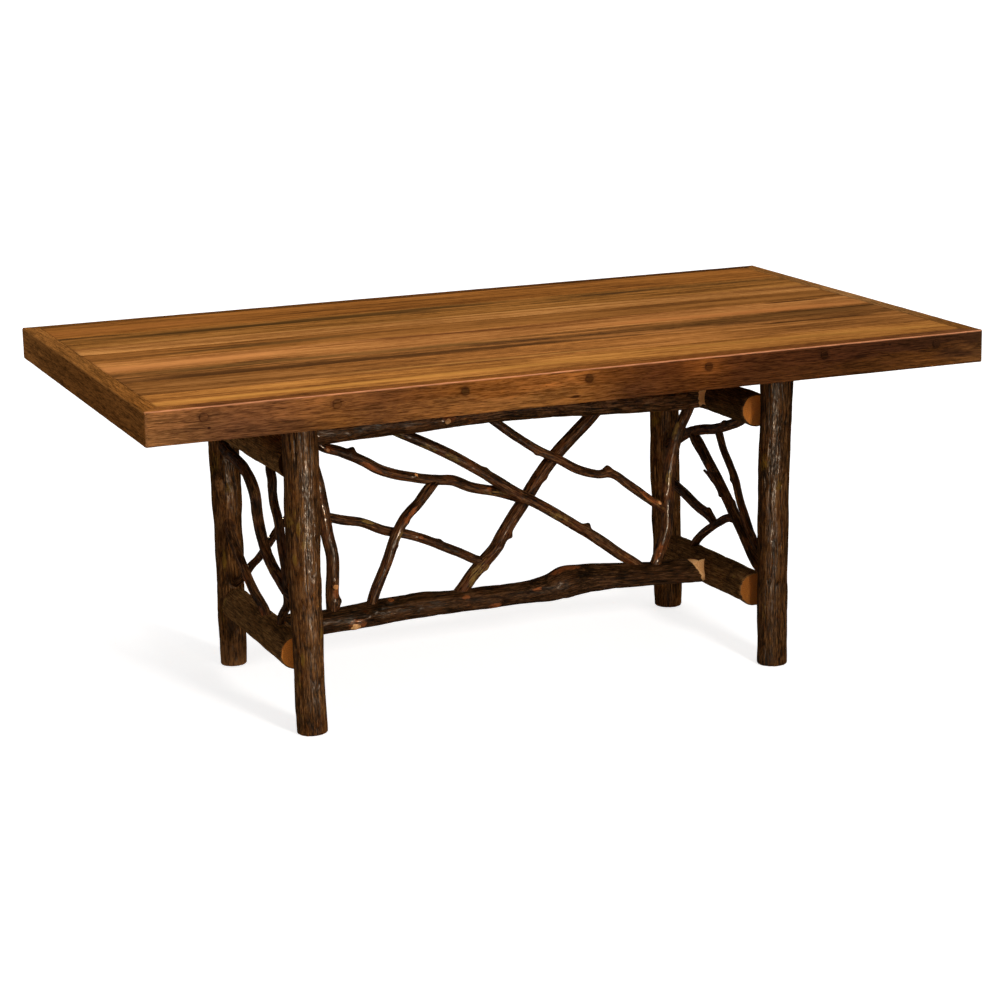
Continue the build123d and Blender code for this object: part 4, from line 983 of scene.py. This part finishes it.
# The worn hollows of a rim board: the weight of each size, how many go round it, its length.
RIM_HOLLOWS = ((0.5, 16, 0.12), (0.5, 40, 0.03))
rim_low = np.array(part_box("rim_left")[0])
rim_high = np.array(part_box("rim_right")[1])
RIM_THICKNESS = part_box("rim_left")[1][0] - rim_low[0]
PEG_COUNT = 7
peg_low, peg_high = np.array(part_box("pegs_front"))
PEG_HEIGHT = (peg_low[2] + peg_high[2]) / 2
PEG_PITCH = (peg_high[0] - peg_low[0] - (peg_high[2] - peg_low[2])) / (PEG_COUNT - 1)
# The dark ring round a peg is drawn on a ramp whose whole length is one over this, in metres.
HALO_SCALE = 20
# A face passes from its lower colours to its upper ones on a ramp whose whole length is one
# over this, in metres. A cloudy noise makes that line wander up and down, and shifts the colours
# along by a share of the length.
FACE_BLEND = 18
LINE_DRIFT = 2.2
LENGTH_DRIFT = 0.07


def rim_grid(length, width, rng):
    """One rim board as a grid, with its outer face at y = 0 and its inside at negative y.

    Its section is a rectangle with quarter circles at its outer corners. A point that lies the
    depth d inside the outer face ends at half the length less d, which makes the mitre. Near the
    ends the outer face draws in by r - sqrt(r² - e²), with e the distance into the round corner.
    The surface sinks by a noise drawn out along the board. The second result is how much the
    edge is lightened, by wear and a painted highlight: exp(-(d / w)²), with d the distance from
    the line where face meets top, or from the upright corner of the table.
    """
    edge = RIM_EDGE
    arc = np.radians(np.linspace(0, 90, 6))
    top = np.stack([edge - edge * np.cos(arc), width - edge + edge * np.sin(arc)], axis=1)
    bottom = np.stack([edge - edge * np.sin(arc), edge - edge * np.cos(arc)], axis=1)
    face = np.column_stack([np.zeros(22), np.linspace(edge, width - edge, 24)[1:-1]])
    over = np.column_stack([np.linspace(edge, RIM_THICKNESS, 14)[1:], np.full(13, width)])
    inside = np.column_stack([np.full(3, RIM_THICKNESS), np.linspace(width, 0, 5)[1:-1]])
    under = np.column_stack([np.linspace(RIM_THICKNESS, edge, 8)[:-1], np.zeros(7)])
    loop = np.concatenate([face, top, over, inside, under, bottom])
    depth, height = loop[:, 0], loop[:, 1]
    reach = length / 2 - np.maximum(depth, RIM_CORNER * (1 - math.sqrt(0.5)))
    rows = int(length / RIM_STEP)
    share = np.concatenate([[-1, -1, -LAST_RING], np.linspace(-1, 1, rows)[1:-1], [LAST_RING, 1, 1]])
    x = share[:, None] * reach
    into = np.clip(np.abs(x) - (length / 2 - RIM_CORNER), 0, RIM_CORNER * math.sqrt(0.5))
    drawn_in = RIM_CORNER - np.sqrt(RIM_CORNER**2 - into**2)
    walk = np.arange(len(loop)) / len(loop)
    run = (share[:, None] + 1) / 2
    dip = 0.0
    for weight, around, long in RIM_HOLLOWS:
        dip = dip + weight * cell_noise(rng, around, int(length / long), walk[None], run)
    worn = RIM_WEAR * dip * (1 - np.abs(share[:, None]) ** WEAR_POWER)
    outer = np.clip(1 - depth / edge, 0, 1)
    y = -depth - drawn_in * (depth < RIM_CORNER) - worn * outer
    z = np.clip(height - worn * (height > width / 2) + worn * (height < width / 2), 0, width)
    middle = np.array([y.mean(), z.mean()])
    for end in (0, -1):
        y[end] = middle[0] + (y[end] - middle[0]) * END_TUCK[0]
        z[end] = middle[1] + (z[end] - middle[1]) * END_TUCK[0]
        x[end] = np.sign(share[end]) * (length / 2 + y[end])
    crown = edge * (1 - math.sqrt(0.5))
    # Wear and a painted highlight, lighter along the front top edge and on the upright corner.
    wear_and_sheen = np.exp(-((np.hypot(depth - crown, height - width + crown) / WEAR_AND_SHEEN_WIDTH) ** 2))
    corner = (length / 2 - np.abs(x)) / (UPRIGHT_SPREAD * WEAR_AND_SHEEN_WIDTH)
    wear_and_sheen = np.maximum(wear_and_sheen, UPRIGHT_WEAR_AND_SHEEN * np.exp(-(corner**2)) * (depth < RIM_CORNER))
    return np.stack([x, y, z], axis=-1), wear_and_sheen


def weathered_rim(name, along, high_stops, low_stops, top_stops, worn_edge_sheen, shift, blemishes=()):
    """Rough barn timber. Its colour changes along the board, and from its top to the upper and
    the lower half of its face, under drawn-out grain, dark cracks and saw marks. Each peg has a
    dark ring round it, at even steps along the long boards. `along` is the axis that it runs on.
    The three lists of stops colour the upper face, the lower face and the top. A blemish is a
    dark oval on the face: its place along and up, and its half length and height."""
    material, tree, shader = new_finish(name)
    place = node(tree, "TexCoord").outputs["Object"]
    parts = node(tree, "SeparateXYZ", {0: place})
    line, depth = (0, 1) if along == "X" else (1, 0)
    board = node(tree, "CombineXYZ", {0: parts.outputs[line], 1: parts.outputs[depth], 2: parts.outputs[2]})
    board = stretched(tree, board.outputs[0], (1, 1, 1), shift)
    cloud = board_noise(tree, board, 5, 30)
    drift = math_node(tree, "SUBTRACT", cloud, 0.5)
    lanes = board_noise(tree, board, 9, 150, distortion=0.5)
    dashes = board_noise(tree, board, 36, 560, 3, 0.7, 0.3)
    fibres = board_noise(tree, board, 60, 1000, 3, 0.7)

    # The board's own colours, which drift a little along it and up its face.
    half = (rim_high - rim_low)[line] / 2
    place_along = math_node(tree, "ADD", math_node(tree, "MULTIPLY", parts.outputs[line], 0.5 / half), 0.5)
    place_along = math_node(tree, "ADD", place_along, math_node(tree, "MULTIPLY", drift, LENGTH_DRIFT), True)
    height = math_node(tree, "SUBTRACT", parts.outputs[2], (rim_high[2] + rim_low[2]) / 2)
    height = weighed(tree, (height, FACE_BLEND), (drift, LINE_DRIFT))
    upper = ramp(tree, math_node(tree, "ADD", height, 0.5), [(0.3, 0.0), (0.7, 1.0)])
    face = mixed(tree, upper, ramp(tree, place_along, low_stops), ramp(tree, place_along, high_stops))
    up = node(tree, "SeparateXYZ", {0: node(tree, "NewGeometry").outputs["True Normal"]}).outputs[2]
    on_top = ramp(tree, up, [(0.55, 0.0), (0.8, 1.0)])
    colour = mixed(tree, on_top, face, ramp(tree, place_along, top_stops))

    # Grain, growth rings, saw marks and cracks.
    tone = weighed(tree, (lanes, 0.7), (dashes, 1.3), (fibres, 0.9), (cloud, 0.6), less=1.25)
    shade = ramp(tree, tone, [(0.28, 0.46), (0.52, 0.92), (0.75, 1.25)])
    colour = tinted(tree, colour, shade)
    rings = board_noise(tree, board, 7, 110, 3, 0.6, 0.3)
    colour = tinted(tree, colour, crease(tree, rings, 0.035, 0.50, 1.0))
    scores = noise(tree, stretched(tree, board, (9, 230, 230), (0.4, 0.9, 0.2)), 1.0, 2, 0.5, 0.2)
    colour = tinted(tree, colour, crease(tree, scores, 0.05, 0.56, 1.0))
    crack = ramp(tree, lanes, [(0.27, 1.0), (0.36, 0.0)])
    colour = mixed(tree, math_node(tree, "MULTIPLY", crack, 0.7), colour, seen(30, 16, 9))

    for at, up_at, long, tall in blemishes:
        aside = math_node(tree, "DIVIDE", math_node(tree, "SUBTRACT", parts.outputs[line], at), long)
        rise = math_node(tree, "DIVIDE", math_node(tree, "SUBTRACT", parts.outputs[2], up_at), tall)
        reach = from_middle(tree, aside, rise)
        reach = math_node(tree, "ADD", reach, math_node(tree, "MULTIPLY", dashes, 0.8))
        hole = ramp(tree, math_node(tree, "MULTIPLY", reach, 0.5), [(0.5, 0.85), (0.75, 0.0)])
        colour = mixed(tree, hole, colour, seen(26, 14, 8))
    # The worn edges are lightened: partly wear, partly a painted highlight.
    worn = ramp(tree, dashes, [(0.3, 0.35), (0.6, 0.95)])
    edge_wear_and_sheen = math_node(tree, "MULTIPLY", attribute(tree, "worn_edge_sheen", "Fac"), worn)
    colour = mixed(tree, edge_wear_and_sheen, colour, seen(*worn_edge_sheen))
    if along == "X":
        step = math_node(tree, "ADD", parts.outputs[0], PEG_PITCH / 2)
        step = math_node(tree, "PINGPONG", step, PEG_PITCH / 2)
        aside = math_node(tree, "SUBTRACT", step, PEG_PITCH / 2)
        rise = math_node(tree, "SUBTRACT", parts.outputs[2], PEG_HEIGHT)
        reach = math_node(tree, "MULTIPLY", from_middle(tree, aside, rise), HALO_SCALE)
        halo = ramp(tree, reach, [(0.15, 0.38), (0.18, 0.62), (0.21, 0.25), (0.32, 0.0)])
        colour = mixed(tree, halo, colour, seen(30, 16, 8))
    tree.links.new(colour, shader.inputs["Base Color"])
    tree.links.new(ramp(tree, dashes, [(0.3, 0.7), (0.7, 0.48)]), shader.inputs["Roughness"])
    shader.inputs["Specular IOR Level"].default_value = 0.0
    give_relief(tree, shader, weighed(tree, (lanes, 0.5), (dashes, 0.5)), depth=0.0018)
    return material


# Each board: the axis it runs along, how many degrees round the table it stands from the front
# board, the seed of its wear, the colour of its worn edge, which is also a painted highlight, and
# rows of place and colour for its upper face, its lower face and its top, from its left or front
# end to the other.
rim_boards = {
    "rim_front": ("X", 0, 81, (220, 146, 102),
        ((0.00, 152, 98, 54), (0.06, 152, 95, 54), (0.13, 126, 78, 44), (0.20, 136, 84, 42),
         (0.26, 104, 62, 31), (0.36, 120, 70, 28), (0.475, 154, 92, 41), (0.52, 104, 59, 24),
         (0.58, 86, 47, 22), (0.61, 84, 44, 18), (0.645, 122, 68, 27), (0.68, 80, 43, 20),
         (0.84, 62, 33, 17), (1.00, 60, 36, 20)),
        ((0.00, 152, 100, 56), (0.09, 106, 66, 39), (0.16, 99, 61, 33), (0.21, 132, 82, 38),
         (0.25, 114, 70, 36), (0.32, 136, 85, 41), (0.43, 138, 88, 42), (0.50, 126, 77, 34),
         (0.55, 84, 48, 24), (0.63, 98, 54, 22), (0.69, 70, 38, 17), (0.86, 78, 45, 19),
         (0.94, 98, 58, 24), (1.00, 104, 66, 34)),
        ((0.00, 190, 120, 58), (0.06, 124, 73, 38), (0.20, 136, 82, 40), (0.38, 160, 98, 46),
         (0.62, 136, 80, 36), (0.85, 122, 72, 36), (1.00, 126, 77, 43))),
    "rim_back": ("X", 180, 82, (170, 110, 64),
        ((0.00, 100, 60, 28), (1.00, 84, 48, 22)),
        ((0.00, 112, 68, 32), (1.00, 90, 52, 24)),
        ((0.00, 134, 84, 36), (0.45, 116, 70, 32), (1.00, 92, 54, 26))),
    "rim_left": ("Y", 270, 83, (150, 98, 48),
        ((0.00, 142, 90, 43), (0.50, 134, 84, 39), (1.00, 162, 106, 53)),
        ((0.00, 138, 86, 40), (0.50, 128, 80, 37), (1.00, 154, 100, 50)),
        ((0.00, 152, 94, 40), (0.50, 152, 98, 46), (1.00, 174, 112, 53))),
    "rim_right": ("Y", 90, 84, (160, 108, 62),
        ((0.00, 92, 54, 26), (1.00, 86, 50, 24)),
        ((0.00, 100, 60, 28), (1.00, 92, 54, 26)),
        ((0.00, 126, 77, 28), (0.50, 174, 122, 70), (1.00, 158, 102, 47))),
}
# A drawn-out knot and two old nail holes on the front board.
rim_blemishes = {"rim_front": (
    (-0.031, 0.7074, 0.012, 0.0030), (-0.788, 0.7192, 0.004, 0.0030), (0.687, 0.7500, 0.004, 0.0025))}


def linear_stops(rows):
    """Stops of place and linear colour, from rows of place and colour as an eye sees it."""
    return [(place, seen(*colour)) for place, *colour in rows]


for name, (along, turn, seed, worn_edge_sheen, *faces) in rim_boards.items():
    length = (rim_high - rim_low)[0 if along == "X" else 1]
    width = (rim_high - rim_low)[1 if along == "X" else 0]
    grid, wear_and_sheen = rim_grid(length, rim_high[2] - rim_low[2], np.random.default_rng(seed))
    grid[..., 1] += width / 2
    angle = math.radians(turn + 180)
    cos_turn, sin_turn = round(math.cos(angle)), round(math.sin(angle))
    x, y = grid[..., 0].copy(), grid[..., 1].copy()
    grid[..., 0] = x * cos_turn - y * sin_turn
    grid[..., 1] = x * sin_turn + y * cos_turn
    grid[..., 2] += rim_low[2]
    board = closed_mesh(name + "_board", grid, {"worn_edge_sheen": wear_and_sheen})
    board.data.materials.append(weathered_rim(
        name + "_barnwood", along, *map(linear_stops, faces), worn_edge_sheen,
        (0.3 * seed, 0.7 * seed, 0.1 * seed), rim_blemishes.get(name, ())))
    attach(board, "root")
    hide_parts(name)

# ------------------------------------------------------------------ pegs, battens and fasteners
# Round plugs cover the screws in the long rim boards. Battens under the planks carry
# them, and screws, dowels, splines, bolts and nails hold the rest.


def plain_wood(name, light, dark, stretch, roughness):
    """Plain dressed wood with a fine grain, on the table's own coordinates."""
    material, tree, shader = new_finish(name)
    place = node(tree, "TexCoord").outputs["Object"]
    grain = noise(tree, stretched(tree, place, stretch), 1.0, 5, 0.65, 0.3)
    tree.links.new(ramp(tree, grain, [(0.35, dark), (0.65, light)]), shader.inputs["Base Color"])
    shader.inputs["Roughness"].default_value = roughness
    shader.inputs["Specular IOR Level"].default_value = 0.1
    give_relief(tree, shader, grain, depth=0.0005, strength=0.8)
    return material


def plated_steel(name, colour, roughness):
    """Zinc-plated steel, with a faint mottle in its sheen."""
    material, tree, shader = new_finish(name)
    place = node(tree, "TexCoord").outputs["Object"]
    mottle = noise(tree, place, 400, 3)
    dull = tuple(0.7 * value for value in colour[:3]) + (1.0,)
    tree.links.new(ramp(tree, mottle, [(0.35, dull), (0.65, colour)]), shader.inputs["Base Color"])
    sheen = ramp(tree, mottle, [(0.3, roughness + 0.1), (0.7, roughness)])
    tree.links.new(sheen, shader.inputs["Roughness"])
    shader.inputs["Metallic"].default_value = 1.0
    return material


def finish_cad(names, material):
    """Gives the CAD nodes their material."""
    for name in names:
        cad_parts[name].data.materials.clear()
        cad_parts[name].data.materials.append(material)


batten_names = [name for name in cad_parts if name.startswith("batten_") and name != "batten_screws"]
finish_cad(batten_names,
           plain_wood("batten_pine", light=seen(168, 124, 78), dark=seen(126, 86, 50),
                      stretch=(260, 5, 260), roughness=0.6))

# The pegs are darker than the board round them, least so near its two ends: places along the
# board, and the share of the board's light that a peg has there.
PEG_PLACES = (0.28, 0.32, 0.84, 0.98)
PEG_SHARES = (0.85, 0.52, 0.52, 1.2)
*_, front_high, front_low, front_top = rim_boards["rim_front"]
peg_stops = [
    [(place, scaled_colour(np.interp(place, PEG_PLACES, PEG_SHARES), *colour)) for place, *colour in rows]
    for rows in (front_high, front_low)]
finish_cad(["pegs_front", "pegs_back"], weathered_rim(
    "peg_wood", "X", *peg_stops, linear_stops(front_top), worn_edge_sheen=(90, 60, 40), shift=(5.2, 1.1, 7.3)))
finish_cad(["end_dowels_left", "end_dowels_right", "corner_splines"],
           plain_wood("dowel_birch", light=seen(196, 160, 112), dark=seen(164, 124, 80),
                      stretch=(30, 500, 500), roughness=0.6))
finish_cad(["batten_screws", "rim_screws_front", "rim_screws_back"],
           plated_steel("yellow_zinc", seen(196, 176, 128), roughness=0.35))
finish_cad(["leg_bolts", "bolt_washers"],
           plated_steel("grey_zinc", seen(186, 188, 190), roughness=0.35))
finish_cad(["crossing_nails"], plated_steel("bright_nail", seen(150, 146, 140), roughness=0.4))

# ------------------------------------------------------------------ studio
# A pale floor that runs out of sight, soft light from above and from the front right, and
# a camera to the left of the front, a little above the top.

# The camera's place in metres, its turn in degrees to the right of straight back, down and
# over, and its lens and sensor in millimetres.
CAMERA_PLACE = (-2.13077, -5.37765, 1.76135)
CAMERA_YAW = 21.7413
CAMERA_PITCH = 13.4494
CAMERA_ROLL = -1.3332
CAMERA_LENS = 96.95
CAMERA_SENSOR = 36.0
FLOOR_HALF = 40.0

yaw, pitch, roll = (math.radians(angle) for angle in (CAMERA_YAW, CAMERA_PITCH, CAMERA_ROLL))
ahead = np.array([math.sin(yaw) * math.cos(pitch), math.cos(yaw) * math.cos(pitch), -math.sin(pitch)])
level = np.array([math.cos(yaw), -math.sin(yaw), 0.0])
upright = np.cross(level, ahead)
right = math.cos(roll) * level + math.sin(roll) * upright
above = math.cos(roll) * upright - math.sin(roll) * level
camera_data = bpy.data.cameras.new("camera")
camera_data.sensor_width = CAMERA_SENSOR
camera_data.lens = CAMERA_LENS
camera_data.clip_end = 200.0
camera = bpy.data.objects.new("camera", camera_data)
camera.matrix_world = Matrix((
    (right[0], above[0], -ahead[0], CAMERA_PLACE[0]),
    (right[1], above[1], -ahead[1], CAMERA_PLACE[1]),
    (right[2], above[2], -ahead[2], CAMERA_PLACE[2]),
    (0, 0, 0, 1)))
bpy.context.scene.collection.objects.link(camera)
bpy.context.scene.camera = camera

floor_mesh = bpy.data.meshes.new("floor")
floor_mesh.from_pydata(
    [(-FLOOR_HALF, -FLOOR_HALF, 0), (FLOOR_HALF, -FLOOR_HALF, 0), (FLOOR_HALF, FLOOR_HALF, 0),
     (-FLOOR_HALF, FLOOR_HALF, 0)], [], [(0, 1, 2, 3)])
floor = bpy.data.objects.new("floor", floor_mesh)
bpy.context.scene.collection.objects.link(floor)


def shown_behind(tree):
    """1 for a ray that shows the background itself: to the camera, in gloss or through glass."""
    rays = node(tree, "LightPath")
    ray = math_node(tree, "MAXIMUM", rays.outputs["Is Camera Ray"], rays.outputs["Is Glossy Ray"])
    return math_node(tree, "MAXIMUM", ray, rays.outputs["Is Transmission Ray"])


# The floor glows for those rays, less near the table, where its shadow lies, than far out.
FLOOR_COLOUR = (0.62, 0.61, 0.60, 1)
GLOW_NEAR, GLOW_FAR = 0.74, 0.95
GLOW_START, GLOW_END = 1.0, 4.0
floor_paint, tree, shader = new_finish("floor_paint")
shader.inputs["Base Color"].default_value = FLOOR_COLOUR
shader.inputs["Roughness"].default_value = 0.9
shader.inputs["Emission Color"].default_value = (1, 1, 1, 1)
far_out = node(tree, "VectorMath", {0: node(tree, "TexCoord").outputs["Object"]}, operation="LENGTH")
glow = node(tree, "MapRange", {
    0: far_out.outputs["Value"], 1: GLOW_START, 2: GLOW_END, 3: GLOW_NEAR, 4: GLOW_FAR}).outputs[0]
tree.links.new(math_node(tree, "MULTIPLY", shown_behind(tree), glow), shader.inputs["Emission Strength"])
floor.data.materials.append(floor_paint)

# The world lights the table softly and shows as white.
WORLD_LIGHT = 0.38
world = bpy.data.worlds.new("studio")
bpy.context.scene.world = world
world.use_nodes = True
tree = world.node_tree
strength = node(tree, "MapRange", {0: shown_behind(tree), 3: WORLD_LIGHT, 4: 1.0}).outputs[0]
tree.nodes["Background"].inputs[0].default_value = (1, 1, 1, 1)
tree.links.new(strength, tree.nodes["Background"].inputs[1])


def soft_lamp(name, place, aim, size, power):
    """A square area lamp at a place, aimed at a point, with its side in metres and its watts."""
    data = bpy.data.lights.new(name, "AREA")
    data.size = size
    data.energy = power
    lamp = bpy.data.objects.new(name, data)
    back = np.array(place, float) - np.array(aim, float)
    back /= np.linalg.norm(back)
    across = np.cross((0, 0, 1), back)
    across /= np.linalg.norm(across)
    over = np.cross(back, across)
    lamp.matrix_world = Matrix((
        (across[0], over[0], back[0], place[0]), (across[1], over[1], back[1], place[1]),
        (across[2], over[2], back[2], place[2]), (0, 0, 0, 1)))
    bpy.context.scene.collection.objects.link(lamp)
    return lamp


key = soft_lamp("key", place=(0.7, -5.2, 2.4), aim=(0, 0, 0.5), size=0.7, power=184)
key.visible_glossy = False
overhead = soft_lamp("overhead", place=(-0.3, -0.6, 4.2), aim=(0, 0, 0.7), size=3.0, power=54)
overhead.visible_glossy = False
# A low warm lamp close in front shows only in the gloss, and gives the lacquer its sheen.
sheen = soft_lamp("sheen", place=(-0.2, -1.5, 0.13), aim=(0, 0, 0.25), size=0.25, power=150)
sheen.data.color = (1.0, 0.78, 0.56)
sheen.visible_diffuse = False
sheen.visible_camera = False

bpy.context.scene.view_settings.view_transform = "Standard"
